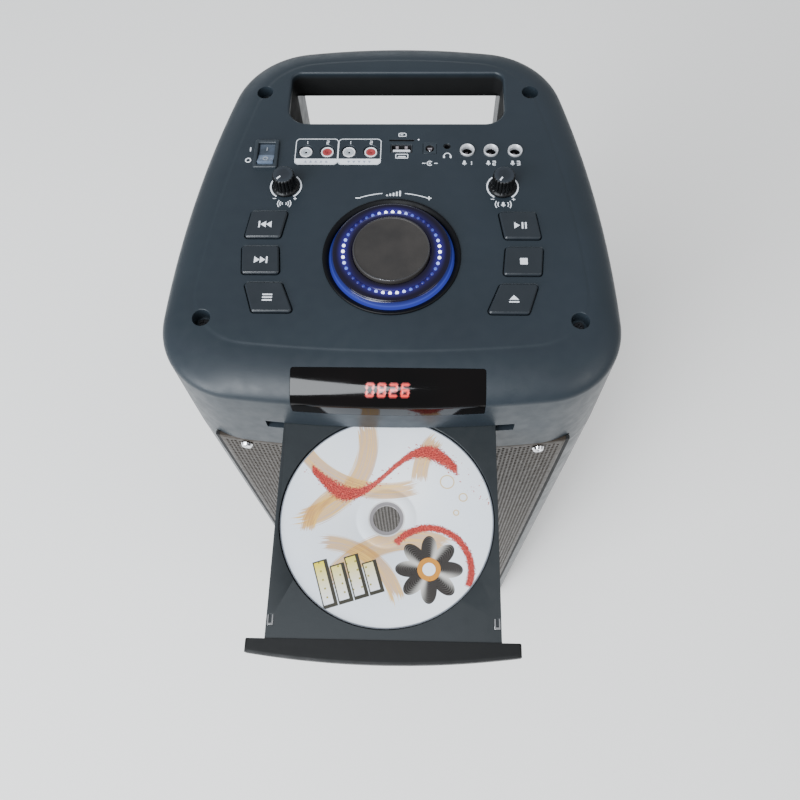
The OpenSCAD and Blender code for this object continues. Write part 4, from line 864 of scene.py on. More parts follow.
class KARAOKE_OT_top_shell(bpy.types.Operator):
    """Make the top shell with its panel, shoulder, hand opening and every opening for the controls"""
    bl_idname = "karaoke.top_shell"
    bl_label = "Top shell"

    def execute(self, context):
        shell = make("top_shell_piece", top_stack(0, SEAM_Z, 22))
        inside = make("inside", top_stack(PANEL_T, SEAM_Z - 1, 8))
        reach = BACK_Y + 5 - GRIP_FRONT
        carve(inside, block(GRIP_W + 7, BACK_Y + 4 - GRIP_FRONT, 1, (0, (GRIP_FRONT + BACK_Y) / 2 - 1.5),
                            SEAM_Z - 3, TOP_Z + 4))
        carve(inside, join(*[prism(arc(p, 7.25, 0, 350, 35), SEAM_Z - 3, TOP_Z + 4) for p in SCREWS_AT]))
        carve(shell, inside)

        def floor(y):
            return SEAM_Z + 36 - 33 * (y - GRIP_FRONT + 1) / (reach + 1)

        well = round_box(GRIP_W, GRIP_BACK - GRIP_FRONT, 13, 6, 0, (0, (GRIP_FRONT + GRIP_BACK) / 2), 12)
        mouth = [round_box(GRIP_W, GRIP_BACK - GRIP_FRONT, 13, 6, 1.6 * (1 - math.cos(a)),
                           (0, (GRIP_FRONT + GRIP_BACK) / 2), 12) for a in np.radians(np.linspace(0, 84, 6))]
        rings = [np.column_stack((well, floor(well[:, 1])))]
        rings += [level(m, TOP_Z - 1.6 * (1 - math.sin(a))) for m,
                  a in zip(mouth, np.radians(np.linspace(0, 84, 6)))]
        rings.append(level(mouth[-1], TOP_Z + 3))
        carve(shell, stack(rings))
        bar = TOP_Z - GRIP_BAR_H
        side = [(GRIP_FRONT + 13, floor(GRIP_FRONT + 13)), (GRIP_FRONT + reach, floor(GRIP_FRONT + reach)),
                (GRIP_FRONT + reach, bar)] + [tuple(p)
                                              for p in arc((GRIP_BACK + 7, bar + 7), 7, 270, 180,
                                                           8)] + [(GRIP_FRONT + 13, bar + 7)]
        side = np.asarray(side)
        rings = [np.column_stack((np.full(len(side), x), side))
                 for x in (-GRIP_W / 2 + 0.01, GRIP_W / 2 - 0.01)]
        carve(shell, stack(rings))
        openings = [hole(disc_outline(p, 5.25), depth=9, ease=0.6) for p in SCREWS_AT]
        openings += [hole(disc_outline(DIAL, DIAL_R - 1.6, 120))]
        openings += [hole(disc_outline(p, 3.6)) for p in SMALL_KNOBS.values()]
        openings += [hole(box_outline(ROCKER, (13.4, 19.8), 0.5))]
        openings += [hole(disc_outline((x, PHONO_Y), 4.8), ease=0.5) for x in PHONO_X]
        openings += [hole(disc_outline(p, 4.85)) for p in PHONE_AT]
        openings += [hole(disc_outline(LINE_AT, 2.3)), hole(box_outline(USB_AT, (13.8, 7.0), 0.4), ease=0.3),
                     hole(box_outline(CARD_AT, (15.9, 1.5), 0.3), ease=0.2),
                     hole(disc_outline(DOT_AT, 0.75), ease=0.1),
                     hole(box_outline(POWER_AT, (8.6, 8.6), 0.4))]
        for corners in BUTTONS.values():
            for s in (1, -1):
                placed = [(s * x, y) for x, y in (corners if s == 1 else corners[::-1])]
                openings.append(hole(lambda grow, c=placed: button_outline(c, grow + BUTTON_HOLE),
                                     ease=BUTTON_HOLE))
        openings.append(stack([level(lens_outline(0.2), LENS_LOW - 0.2),
                               level(lens_outline(0.2), TOP_Z + 4)]))
        openings.append(block(SLOT_W, 60, 1, (0, FRONT_Y), SLOT_LOW, SLOT_TOP))
        window = rect(WINDOW_W, 40, 0.4, (0, FRONT_Y + 10))
        openings.append(prism(window, SEAM_Z - 2, GRILLE_TOP))
        carve(shell, join(*openings))
        dress(shell, "body", "shell", ("top_shell",), 24)
        return {"FINISHED"}


class KARAOKE_OT_cabinet(bpy.types.Operator):
    """Make the lower cabinet with its front window, port hole and rounded lower edge"""
    bl_idname = "karaoke.cabinet"
    bl_label = "Cabinet"

    def execute(self, context):
        t = np.radians(np.linspace(90, 0, 7))
        rings = [level(wall_plan(2.5 * (1 - math.cos(a))), FOOT_Z + 2.5 * (1 - math.sin(a))) for a in t]
        rings += [level(wall_plan(0), z) for z in (200, 400, SEAM_Z - 0.5)] + [level(wall_plan(0.35),
                                                                                     SEAM_Z)]
        cabinet = make("cabinet_piece", stack(rings))
        carve(cabinet, prism(wall_plan(WALL), FOOT_Z - 2, SEAM_Z + 2))
        window = rect(WINDOW_W, 40, 0.4, (0, FRONT_Y + 10))
        carve(cabinet, prism(window, GRILLE_LOW - GRILLE_GAP, SEAM_Z + 3))
        port = moved(prism(arc((0, 0), 29.2, 0, 355, 71), -20, 20), Matrix.Translation((0, BACK_Y, PORT_Z)) @
                     Matrix.Rotation(math.pi / 2, 4, "X"))
        carve(cabinet, port)
        dress(cabinet, "body", "cabinet", ("cabinet_shell",), 24)
        softened("bottom_plate", "matte black", "body", 0.3)
        feet = [turned(((4.5, 5), (4.5, 0.6), (5.1, 0), (13.6, 0), (14.3, 0.3), (14.6, 1.0), (15.6, 7.6),
                        (15.6, 8.2), (16.0, 8.4), (16.0, 10), (2.2, 10), (2.2, 5)), p, 0, 96)
                for p in ((88, -88), (-88, -88), (68, 92), (-68, 92))]
        add("feet_piece", join(*feet), "rubber", ("feet",))
        flare = turned(((34, 2), (33.6, 2), (30.4, 1.6), (27.8, 0.2), (26.4, -3.5), (26, -8), (26, -90),
                        (29, -90), (29, 0), (34, 0), (34.2, 0.3), (34.2, 1.7)), (0, 0), 0, 120)
        flare = moved(flare, Matrix.Translation((0, BACK_Y, PORT_Z)) @ Matrix.Rotation(-math.pi / 2, 4, "X"))
        add("bass_port_piece", flare, "frame black", ("bass_port",))
        return {"FINISHED"}


def perforated(first, last, rows, across, up, radius, low, thick):
    """Bowed sheet with a hexagonal hole in each cell. Cells fill columns, and every second column is shifted
    up by half a cell. A cell's six corners, two of them in the middle of its sides, join the six corners of
    its hole, and the sheet lies on the front bow: y = front + R - square root of (R squared - x squared)"""
    columns = last - first
    lines = np.arange(first, last + 1) * across
    heights = low + np.arange(2 * rows + 1) * up / 2
    gx, gz = np.meshgrid(lines, heights, indexing="ij")
    grid = np.column_stack((gx.ravel(), gz.ravel()))
    tall = 2 * rows + 1
    col, row = np.meshgrid(np.arange(columns), np.arange(rows), indexing="ij")
    odd = (col + first) % 2
    keep = ~((odd == 1) & (row == rows - 1))
    col, start = col[keep], (2 * row + odd)[keep]
    # Cell corners anticlockwise as seen from the front, from the lower right one
    corner = np.stack(((col + 1) * tall + start, (col + 1) * tall + start + 1, (col + 1) * tall + start + 2,
                       col * tall + start + 2, col * tall + start + 1, col * tall + start), -1)
    centre = np.column_stack((lines[col] + across / 2, heights[start + 1]))
    turn = np.radians([-60, 0, 60, 120, 180, 240])
    rim = centre[:, None, :] + radius * np.stack((np.cos(turn), np.sin(turn)), -1)[None]
    flat = np.vstack((grid, rim.reshape(-1, 2)))
    hole_at = len(grid) + np.arange(len(centre))[:, None] * 6 + np.arange(6)[None]
    nxt = np.roll(np.arange(6), -1)
    front = np.stack((corner, corner[:, nxt], hole_at[:, nxt], hole_at), -1).reshape(-1, 4)
    blank = np.arange(columns)[(np.arange(columns) + first) % 2 == 1]
    for k in (0, 2 * rows - 1):
        front = np.vstack((front, np.stack((blank * tall + k, (blank + 1) * tall + k,
                                            (blank + 1) * tall + k + 1, blank * tall + k + 1), -1)))
    count = len(flat)
    inside = np.stack((hole_at, hole_at[:, nxt], hole_at[:, nxt] + count, hole_at + count), -1).reshape(-1,
                                                                                                        4)
    edge = np.concatenate((np.arange(columns) * tall, columns * tall + np.arange(tall - 1),
                           (np.arange(columns, 0, -1)) * tall + tall - 1, np.arange(tall - 1, 0, -1)))
    after = np.roll(edge, -1)
    rim_faces = np.stack((edge, edge + count, after + count, after), -1)
    x, z = flat[:, 0], flat[:, 1]
    sheets = [np.column_stack((x, FRONT_Y + SHEET_IN + depth + bowed(x), z))
              for depth in (0.0, thick)]
    return np.vstack(sheets), [front, front[:, ::-1] + count, inside, rim_faces]


class KARAOKE_OT_grille(bpy.types.Operator):
    """Make the perforated front grille in three strips and the folded rim round it"""
    bl_idname = "karaoke.grille"
    bl_label = "Grille"

    def execute(self, context):
        s = sizes()
        across, up, radius = s.hole_across / MM, s.hole_up / MM, s.hole_radius / MM
        half = WINDOW_W / 2 - GRILLE_GAP
        side = int((half - 1.6) // across)
        rows = int((GRILLE_TOP - GRILLE_LOW - 5) // up)
        low = (GRILLE_LOW + GRILLE_TOP - rows * up) / 2
        cuts = np.round(np.linspace(-side, side, 4)).astype(int)
        for name, first, last in zip(("left", "middle", "right"), cuts[:-1], cuts[1:]):
            strip = make(f"grille_{name}", perforated(first, last, rows, across, up, radius, low, 0.9))
            dress(strip, "body", "grille", ("grille",), 40)
        # Rim: a flat margin that rounds back into a short fold, carried along the sheet's four sides
        fx, fz0, fz1 = side * across, low, low + rows * up
        profile = ((0.0, 0.0), (0.35, 0.0), (0.7, 0.12), (0.92, 0.4), (1.0, 0.9), (1.0, 3.2), (0.5, 3.2),
                   (0.4, 1.0), (0.0, 0.9))
        rings = []
        for share, depth in profile:
            w = fx + (half - fx) * share
            z0, z1 = fz0 + (GRILLE_LOW - fz0) * share, fz1 + (GRILLE_TOP - 0.4 - fz1) * share
            xs = np.linspace(-w, w, 25)
            zs = np.linspace(z0, z1, 25)
            loop = np.vstack((np.column_stack((xs[:-1], np.full(24, z0))),
                              np.column_stack((np.full(24, w), zs[:-1])),
                              np.column_stack((xs[:0:-1], np.full(24, z1))),
                              np.column_stack((np.full(24, -w), zs[:0:-1]))))
            y = FRONT_Y + SHEET_IN + depth + bowed(loop[:, 0])
            rings.append(np.column_stack((loop[:, 0], y, loop[:, 1])))
        points = np.asarray(rings)
        rim = (points.reshape(-1, 3), [grid_faces(len(profile), points.shape[1], True)])
        add("grille_rim", rim, "grille", (), 30)
        # Dark strips that fill the gap at both sides of the sheet, a little below its face: painted shade
        # for the shadow in the gap
        gap_shade_strips = []
        for s in (1, -1):
            xs = np.linspace(half + 0.2, WINDOW_W / 2 - 0.05, 4)
            face = FRONT_Y + SHEET_IN + 0.9 + bowed(xs)
            strip = np.vstack((np.column_stack((s * xs, face)), np.column_stack((s * xs, face + 2.6))[::-1]))
            gap_shade_strips.append(prism(strip[::s], GRILLE_LOW - 1.5, GRILLE_TOP - 0.6))
        add("grille_gaskets", join(*gap_shade_strips), "rubber", (), 30)
        return {"FINISHED"}


class KARAOKE_OT_screws(bpy.types.Operator):
    """Round the edges of the cross-head screws and give them their plating"""
    bl_idname = "karaoke.screws"
    bl_label = "Screws"

    def execute(self, context):
        softened("grille_screws", "chrome", "body", 0.15, 2)
        softened("shell_screws", "screw black", "body", 0.15, 2)
        return {"FINISHED"}


class KARAOKE_OT_dial(bpy.types.Operator):
    """Make the volume dial: trim ring, lit ring, black ring with its lights, and the knob"""
    bl_idname = "karaoke.dial"
    bl_label = "Volume dial"

    def execute(self, context):
        r, z = DIAL_R, TOP_Z
        lit = r - 3.8
        trim = turned(((r - 3.6, -6), (r - 1.8, -6), (r - 1.8, 0), (r, 0), (r, 0.7), (r - 0.15, 1.05),
                       (r - 0.5, 1.3), (r - 0.9, 1.35), (r - 1.6, 1.1), (r - 3.3, 0.1), (r - 3.6, -0.3)),
                      DIAL, z, DIAL_SIDES)
        add("dial_trim_piece", trim, "trim black", ("dial_trim_ring",), 60)
        # Lit wall: it leans in as r = lit - 2.4 s to the power 1.2 while it rises as 4.6 s
        wall = [(lit - 2.4 * s ** 1.2, -0.9 + 4.6 * s) for s in np.linspace(0, 1, 8)]
        ring = turned([(lit - 3.2, -6), (lit, -6)] + wall + [(lit - 3.2, 3.7)], DIAL, z, DIAL_SIDES)
        add("light_ring_piece", ring, "ring light", ("light_ring",), 60)
        inner, outer = KNOB_R + 0.4, lit - 2.6
        groove = [(outer - 0.7, -6), (outer - 0.7, 3.6), (outer, 3.72), (outer - 0.05, 3.95),
                  (outer - 0.5, 4.3), (outer - 1.5, 4.5), (LED_R + 1.25, 4.3), (LED_R + 1.1, 4.2),
                  (LED_R + 1.1, 3.5), (LED_R - 1.1, 3.5), (LED_R - 1.1, 4.3), (LED_R - 1.25, 4.4),
                  (inner + 1.1, 4.9), (inner + 0.3, 4.8), (inner, 4.4), (inner, -6)]
        add("dial_ring_piece", turned(groove, DIAL, z, DIAL_SIDES), "dial black",
            ("led_ring",), 40)
        # Lights: a dome each, brightest in four clusters, as the fourth turn of the cosine of its angle
        dome = [(0, 3.4), (1.0, 3.4), (1.0, 3.9), (0.86, 4.2), (0.5, 4.4), (0, 4.45)]
        turns = np.arange(LIGHTS) * 2 * np.pi / LIGHTS
        dots = join(*[turned(dome, (DIAL[0] + LED_R * math.cos(a), DIAL[1] + LED_R * math.sin(a)), z, 16)
                      for a in turns])
        piece = make("dial_lights_piece", dots)
        phase = np.arctan2(dots[0][:, 1] - DIAL[1], dots[0][:, 0] - DIAL[0])
        phase = np.round(phase / (2 * np.pi / LIGHTS)) * 2 * np.pi / LIGHTS
        glow = (0.5 + 0.5 * np.cos(4 * (phase - 0.02))) ** 1.5
        layer = piece.data.attributes.new("glow", "FLOAT", "POINT")
        layer.data.foreach_set("value", glow.astype(np.float32))
        dress(piece, "body", "dot light", ("led_dots",), 60)
        top = 7.2
        knob = turned([(0, -2.6), (KNOB_R - 4, -2.6), (KNOB_R - 1.2, -3.3), (KNOB_R - 0.2, -1.8),
                       (KNOB_R - 0.2, top - 1.0), (KNOB_R - 0.35, top - 0.5), (KNOB_R - 0.7, top - 0.12),
                       (KNOB_R - 1.05, top), (KNOB_R - 1.3, top - 0.03), (KNOB_R - 1.6, top - 0.22),
                       (KNOB_R - 2.2, top - 0.28), (KNOB_R - 9, top - 0.4), (0, top - 0.45)], DIAL, z,
                      DIAL_SIDES)
        stem = turned([(0, -14), (3, -14), (3, -2.5), (0, -2.5)], DIAL, z, 40)
        add("volume_knob_piece", join(knob, stem), "knob cap", ("volume_knob",), 20,
            body="volume_knob")
        edge = turned([(KNOB_R - 1.05, top - 0.1), (KNOB_R - 0.62, top - 0.16), (KNOB_R - 0.62, top - 0.02),
                       (KNOB_R - 0.8, top + 0.06), (KNOB_R - 1.05, top + 0.04)], DIAL, z, DIAL_SIDES)
        add("volume_knob_edge", edge, "polished edge", body="volume_knob")
        return {"FINISHED"}


def fluted_knob(at, radius, height):
    """Knob with a skirt: its radius falls by a groove of (1 - |sin 9t|) squared, over 18 flutes"""
    rows = np.array([(0.3, 0.0, 0), (radius - 0.2, 0.0, 0), (radius, 0.2, 0), (radius, 1.3, 0),
                     (radius - 0.3, 1.7, 0), (radius - 0.9, 2.2, 0.15), (radius - 1.1, 3.0, 1),
                     (radius - 1.4, height / 2, 1), (radius - 1.75, height - 1.2, 1),
                     (radius - 2.0, height - 0.5, 0.8), (radius - 2.5, height - 0.1, 0.3),
                     (radius - 3.2, height, 0), (radius - 5, height - 0.12, 0), (0.3, height - 0.15, 0)])
    t = np.linspace(0, 2 * np.pi, 216, endpoint=False)
    groove = 0.75 * (1 - np.abs(np.sin(9 * t))) ** 2
    r = rows[:, :1] - rows[:, 2:] * groove
    points = np.stack((at[0] + r * np.cos(t), at[1] + r * np.sin(t),
                       TOP_Z + KNOB_LIFT + rows[:, 1:2] + 0 * t), -1)
    stem = turned([(0, -14.5), (2, -14.5), (2, 0.2), (0, 0.2)], at, TOP_Z + KNOB_LIFT, 32)
    return join(stack(points), stem)


class KARAOKE_OT_small_knobs(bpy.types.Operator):
    """Make the two fluted knobs and their white pointers"""
    bl_idname = "karaoke.small_knobs"
    bl_label = "Small knobs"

    def execute(self, context):
        for name, at in SMALL_KNOBS.items():
            add(f"{name}_knob_piece", fluted_knob(at, 8.5, SMALL_KNOB_H), "knob black",
                (f"{name}_knob",), 50, body=f"{name}_knob")
            lean = math.radians(226 if name == "echo" else 238)
            along = np.array([math.cos(lean), math.sin(lean)])
            cross = np.array([-along[1], along[0]])
            line = np.array([along * 2.2 - cross * 0.45, along * 5.1 - cross * 0.45,
                             along * 5.1 + cross * 0.45, along * 2.2 + cross * 0.45]) + np.asarray(at)
            top = TOP_Z + KNOB_LIFT + SMALL_KNOB_H
            add(f"{name}_pointer", prism(line, top - 0.3, top), "marks", body=f"{name}_knob")
        return {"FINISHED"}


class KARAOKE_OT_power_switch(bpy.types.Operator):
    """Make the power rocker, its bezel and its on and off marks"""
    bl_idname = "karaoke.power_switch"
    bl_label = "Power switch"

    def execute(self, context):
        def bezel(grow):
            return round_box(15.6, 22.5, 1.5, 1.5, grow, ROCKER)

        rings = [level(bezel(-1.1), 686), level(bezel(-1.1), TOP_Z), level(bezel(0), TOP_Z)]
        rings += [level(bezel(k), z) for k, z in fillet(0, TOP_Z + 2.0, 0.9)]
        frame_piece = make("switch_frame_piece", stack(rings))
        carve(frame_piece, stack([level(round_box(10.6, 17.5, 0.4, 0.4, k, ROCKER), z) for k, z in
                                  ((0, 688.25), (0, TOP_Z + 1.5), (0.2, TOP_Z + 1.8), (0.6, TOP_Z + 2.2))]))
        dress(frame_piece, "body", "slate", ("switch_frame",))
        # Rocker: two slightly dished halves that meet in a soft ridge, carried across its width
        reach, low = 8.4, 697.0
        half = np.linspace(0, 1, 9)
        lift = 3.0 + reach * 0.97 * np.tan(np.radians(10)) * half - 0.5 * np.sin(np.pi * half)
        crest = np.column_stack((np.r_[-half[::-1], half[1:]] * 8.15, np.r_[lift[::-1], lift[1:]]))
        side = np.vstack((arc((0, 0), reach, -192, 12, 28), crest[::-1]))
        turn = Matrix.Translation((ROCKER[0], ROCKER[1], low)) @ Matrix.Rotation(math.radians(-10), 4, "X")
        rings = []
        for x, shrink in ((-5, 0.965), (-4.85, 0.985), (-4.6, 1.0), (4.6, 1.0), (4.85, 0.985), (5, 0.965)):
            rings.append(np.column_stack((np.full(len(side), x), side * shrink)))
        body = moved(stack(rings), turn)
        pins = moved(turned([(0, -6), (1.5, -6), (1.5, 6), (0, 6)], (0, 0), 0, 32),
                     turn @ Matrix.Rotation(math.pi / 2, 4, "Y"))
        add("power_rocker_piece", join(body, pins), "rocker", ("power_rocker",), 40,
            body="power_rocker")
        bar = block(0.6, 3.2, 0.2, (0, 4.6), 3.55, 3.78)
        t = np.linspace(0, 2 * np.pi, 28, endpoint=False)
        rim = [np.column_stack((r * np.cos(t), -4.7 + r * np.sin(t), np.full(28, z)))
               for r, z in ((1.15, 3.52), (1.6, 3.52), (1.6, 3.78), (1.15, 3.78))]
        circle = (np.asarray(rim).reshape(-1, 3), [grid_faces(4, 28, True)])
        add("power_marks", moved(join(bar, circle), turn), "dull marks", body="power_rocker")
        return {"FINISHED"}


def stroke(path, width, low, high, closed=False):
    """Raised line: the path carried out to both sides by half its width, square at its ends"""
    path = np.asarray(path, float)
    step = np.gradient(path, axis=0)
    if closed:
        step = np.roll(path, -1, 0) - np.roll(path, 1, 0)
    normal = np.column_stack((-step[:, 1], step[:, 0]))
    normal /= np.linalg.norm(normal, axis=1)[:, None]
    left, right = path + normal * width / 2, path - normal * width / 2
    if closed:
        rings = np.asarray([level(right, low), level(left, low), level(left, high), level(right, high)])
        return rings.reshape(-1, 3), [grid_faces(4, len(path), True)[:, ::-1]]
    return prism(np.vstack((right, left[::-1])), low, high)


def box_points(x0, y0, x1, y1):
    return (x0, y0), (x1, y0), (x1, y1), (x0, y1)


def upright(x):
    return box_points(x - 0.45, -2.1, x + 0.45, 2.1)


def across(y):
    return box_points(-2.6, y - 0.4, 2.6, y + 0.4)


def arrow(x, way):
    """Triangle whose tip is to the right with way 1 and to the left with way -1"""
    return (x - way * 1.5, -way * 2.1), (x + way * 1.5, 0), (x - way * 1.5, way * 2.1)


SIGNS = {
    "previous": (upright(-3.6), arrow(-1.4, -1), arrow(1.7, -1)),
    "next": (arrow(-1.7, 1), arrow(1.4, 1), upright(3.6)),
    "mode": (across(1.7), across(0), across(-1.7)),
    "play": (arrow(-1.8, 1), upright(1.2), upright(3.0)),
    "stop": (box_points(-2, -2, 2, 2),),
    "eject": (((-2.5, -0.4), (2.5, -0.4), (0, 2.4)), across(-1.7)),
    "plus": (box_points(-1.2, -0.3, 1.2, 0.3), box_points(-0.3, 0.32, 0.3, 1.2),
             box_points(-0.3, -1.2, 0.3, -0.32)),
    "minus": (box_points(-1.2, -0.3, 1.2, 0.3),),
}


def icon(kind, at, low, high, size=1.0):
    """Flat sign made of the outlines in its table, centred on a place"""
    return join(*[prism(np.asarray(points, float) * size + np.asarray(at), low, high)
                  for points in SIGNS[kind]])


class KARAOKE_OT_buttons(bpy.types.Operator):
    """Make the six push buttons with rounded, slightly dished tops and their printed signs"""
    bl_idname = "karaoke.buttons"
    bl_label = "Push buttons"

    def execute(self, context):
        gap, face, under = BUTTON_GAP, TOP_Z + BUTTON_UP, TOP_Z - PANEL_T - 0.3
        height = sizes().print_height / MM
        for name, corners in BUTTONS.items():
            for s in (1, -1):
                label = name if s == 1 else OPPOSITE[name]
                placed = [(s * x, y) for x, y in (corners if s == 1 else corners[::-1])]
                profile = [(0.9, under - 1.5), (0.9, under), (-gap, under)]
                profile += [(-gap, face - 0.85), (-gap - 0.12, face - 0.7), (-gap - 0.62, face - 0.12),
                            (-gap - 0.8, face), (-gap - 1.0, face)]
                profile += [(-gap - 2.2, face - 0.05), (-gap - 4.0, face - 0.09)]
                cap = stack([level(button_outline(placed, k, 2.0 if k > -1.9 else 4.5), z) for k,
                             z in profile])
                mid = np.mean(placed, axis=0)
                stem = block(5, 5, 0.3, mid, 688.3, under - 1.4)
                add(f"{label}_button_piece", join(cap, stem), "button", (f"{label}_button",),
                    35, body=f"{label}_button")
                top = face - 0.1
                add(f"{label}_sign", icon(label, mid - (0, 0.6), top, top + 0.06 + height, 1.1), "marks",
                    body=f"{label}_button")
        return {"FINISHED"}


class KARAOKE_OT_sockets(bpy.types.Operator):
    """Make the sockets in the panel: phono, phone, line, data, card and power"""
    bl_idname = "karaoke.sockets"
    bl_label = "Sockets"

    def execute(self, context):
        top, base = PHONO_TOP, SOCKET_BASE
        for colour, picks in (("white", (0, 2)), ("red", (1, 3))):
            rings, inserts, pins = [], [], []
            for i in picks:
                at = (PHONO_X[i], PHONO_Y)
                rings.append(turned([(3.1, base), (4.1, base), (4.1, top - 0.5), (3.95, top - 0.15),
                                     (3.65, top), (3.45, top), (3.2, top - 0.12), (3.1, top - 0.4)], at, 0,
                                    64))
                rings.append(block(11, 12, 0.5, at, base, 691.6))
                inserts.append(turned([(0, base + 2), (3.12, base + 2), (3.12, top - 0.5), (2.9, top - 0.35),
                                       (1.9, top - 0.3), (1.6, top - 0.4), (1.45, top - 0.9),
                                       (0, top - 0.9)], at, 0, 64))
                # Painted shade: a dark disc at the foot of each insert's small recess stands for the shade
                # down the pin hole, darker red in the red sockets
                pins.append(turned([(0, base + 3), (0.75, base + 3), (0.75, top - 0.86), (0, top - 0.86)],
                                   at, 0, 24))
            add(f"phono_{colour}_rings", join(*rings), "phono white",
                (f"rca_jacks_{colour}",), 50)
            add(f"phono_{colour}_inserts", join(*inserts), "phono red" if colour == "red" else "phono grey",
                (), 50)
            add(f"phono_{colour}_holes", join(*pins), "phono deep red" if colour == "red" else "frame black",
                (), 50)
        z = TOP_Z + PHONE_UP
        rings = [turned([(3.2, 675), (6.3, 673), (6.3, 696.2), (4.65, 696.2), (4.65, z - 0.5),
                         (4.55, z - 0.15), (4.35, z), (4.15, z - 0.05), (3.95, z - 0.3), (3.35, z - 1.7),
                         (3.2, z - 2.2)], p, 0, 72) for p in PHONE_AT]
        add("phone_sockets_piece", join(*rings), "satin nickel", ("mic_jacks",), 50)
        insides = [turned([(0, 673.2), (3.1, 673.2), (3.1, z - 3.2), (2.95, z - 3.2), (2.95, 675), (0, 675)],
                          p, 0, 48) for p in PHONE_AT]
        add("phone_socket_bores", join(*insides), "frame black", (), 50)
        blades = [block(1.8, 0.3, 0.1, (p[0] - 0.3, p[1] + 2.75), 692.9, 694.7) for p in PHONE_AT]
        add("phone_socket_blades", join(*blades), "contact", (), 50)
        line = turned([(1.78, base + 2), (2.25, base + 2), (2.25, TOP_Z - 0.7), (2.2, TOP_Z - 0.6),
                       (1.95, TOP_Z - 0.6), (1.82, TOP_Z - 0.7), (1.78, TOP_Z - 1.1)], LINE_AT, 0, 48)
        add("line_socket_piece", join(line, block(8, 10, 0.4, LINE_AT, base, base + 10)), "frame black",
            ("aux_jack",), 50)

        def tube(at, size, wall, low, high):
            """Square-cornered tube: down its outer side, over its rim and down its inner side"""
            steps = ((0, low), (0, high - 0.1), (-0.06, high), (-wall + 0.05, high), (-wall, high - 0.1),
                     (-wall, low))
            rings = np.asarray([level(round_box(*size, 0.45, 0.45, k, at), h) for k, h in steps])
            return rings.reshape(-1, 3), [grid_faces(len(steps), rings.shape[1], True)]

        add("data_socket_piece", tube(USB_AT, (13.2, 6.4), 0.28, base, TOP_Z - 0.2), "dull nickel",
            ("usb_port",), 40)
        # Painted shade: black linings inside the data socket, card slot and power socket, for the shade in
        # their openings
        dark = [tube(USB_AT, (12.6, 5.8), 0.2, base, TOP_Z - 0.7),
                tube(CARD_AT, (15.7, 1.4), 0.15, 696.6, TOP_Z - 0.1),
                turned([(2.6, 690.6), (2.79, 690.6), (2.79, TOP_Z - 0.15), (2.6, TOP_Z - 0.15)], POWER_AT, 0,
                       48)]
        add("socket_linings", join(*dark), "frame black", (), 40)
        tongue = block(10.9, 1.5, 0.2, (USB_AT[0], USB_AT[1] - 1.15), base + 3.5, TOP_Z - 0.9)
        add("data_socket_tongue", tongue, "white plastic")
        springs = [block(1.9, 0.35, 0.1, (USB_AT[0] + x, USB_AT[1] + 2.5), TOP_Z - 5, TOP_Z - 1.3)
                   for x in (-2.9, 2.9)]
        springs += [block(3.0, 0.5, 0.15, (POWER_AT[0], POWER_AT[1] + 1.9), 694, TOP_Z - 1.8)]
        add("socket_springs", join(*springs), "contact", (), 40)
        softened("card_reader", "stamped steel", "body", 0.1, 1)
        lamp_dot = turned([(0, TOP_Z - 5), (0.65, TOP_Z - 5), (0.65, TOP_Z - 0.3), (0.45, TOP_Z),
                           (0, TOP_Z + 0.1)], DOT_AT, 0, 32)
        add("card_lamp", lamp_dot, "white light")
        softened("dc_inlet", "slate", "body", 0.25, 2)
        pin = turned([(0, 696), (0.9, 696), (0.9, 697.9), (0.6, 698.3), (0, 698.4)], POWER_AT, 0, 24)
        add("power_socket_pin", pin, "nickel", (), 50)
        return {"FINISHED"}


def numeral(digit, at, size, low, high, weight=0.16):
    """Plain numeral of straight strokes on a seven-part pattern"""
    w, h = size * 0.55, size
    parts = {"a": ((0, h), (w, h)), "b": ((w, h), (w, h / 2)), "c": ((w, h / 2), (w, 0)),
             "d": ((0, 0), (w, 0)), "e": ((0, 0), (0, h / 2)), "f": ((0, h / 2), (0, h)),
             "g": ((0, h / 2), (w, h / 2))}
    lit = {"0": "abcdef", "1": "bc", "2": "abged", "3": "abgcd", "4": "fgbc", "5": "afgcd", "6": "afgedc",
           "7": "abc", "8": "abcdefg", "9": "abfgcd"}[digit]
    t = size * weight / 2
    shapes = []
    for part in lit:
        (x0, y0), (x1, y1) = parts[part]
        if y0 == y1:
            outline = ((x0 - t * 0.9, y0), (x0 + t * 0.1, y0 - t), (x1 - t * 0.1, y0 - t),
                       (x1 + t * 0.9, y0), (x1 - t * 0.1, y0 + t), (x0 + t * 0.1, y0 + t))
        else:
            a, b = min(y0, y1), max(y0, y1)
            outline = ((x0, a + t * 0.15), (x0 + t, a + t * 1.15), (x0 + t, b - t * 1.15),
                       (x0, b - t * 0.15), (x0 - t, b - t * 1.15), (x0 - t, a + t * 1.15))
        shapes.append(prism(np.asarray(outline) + np.asarray(at), low, high))
    return shapes


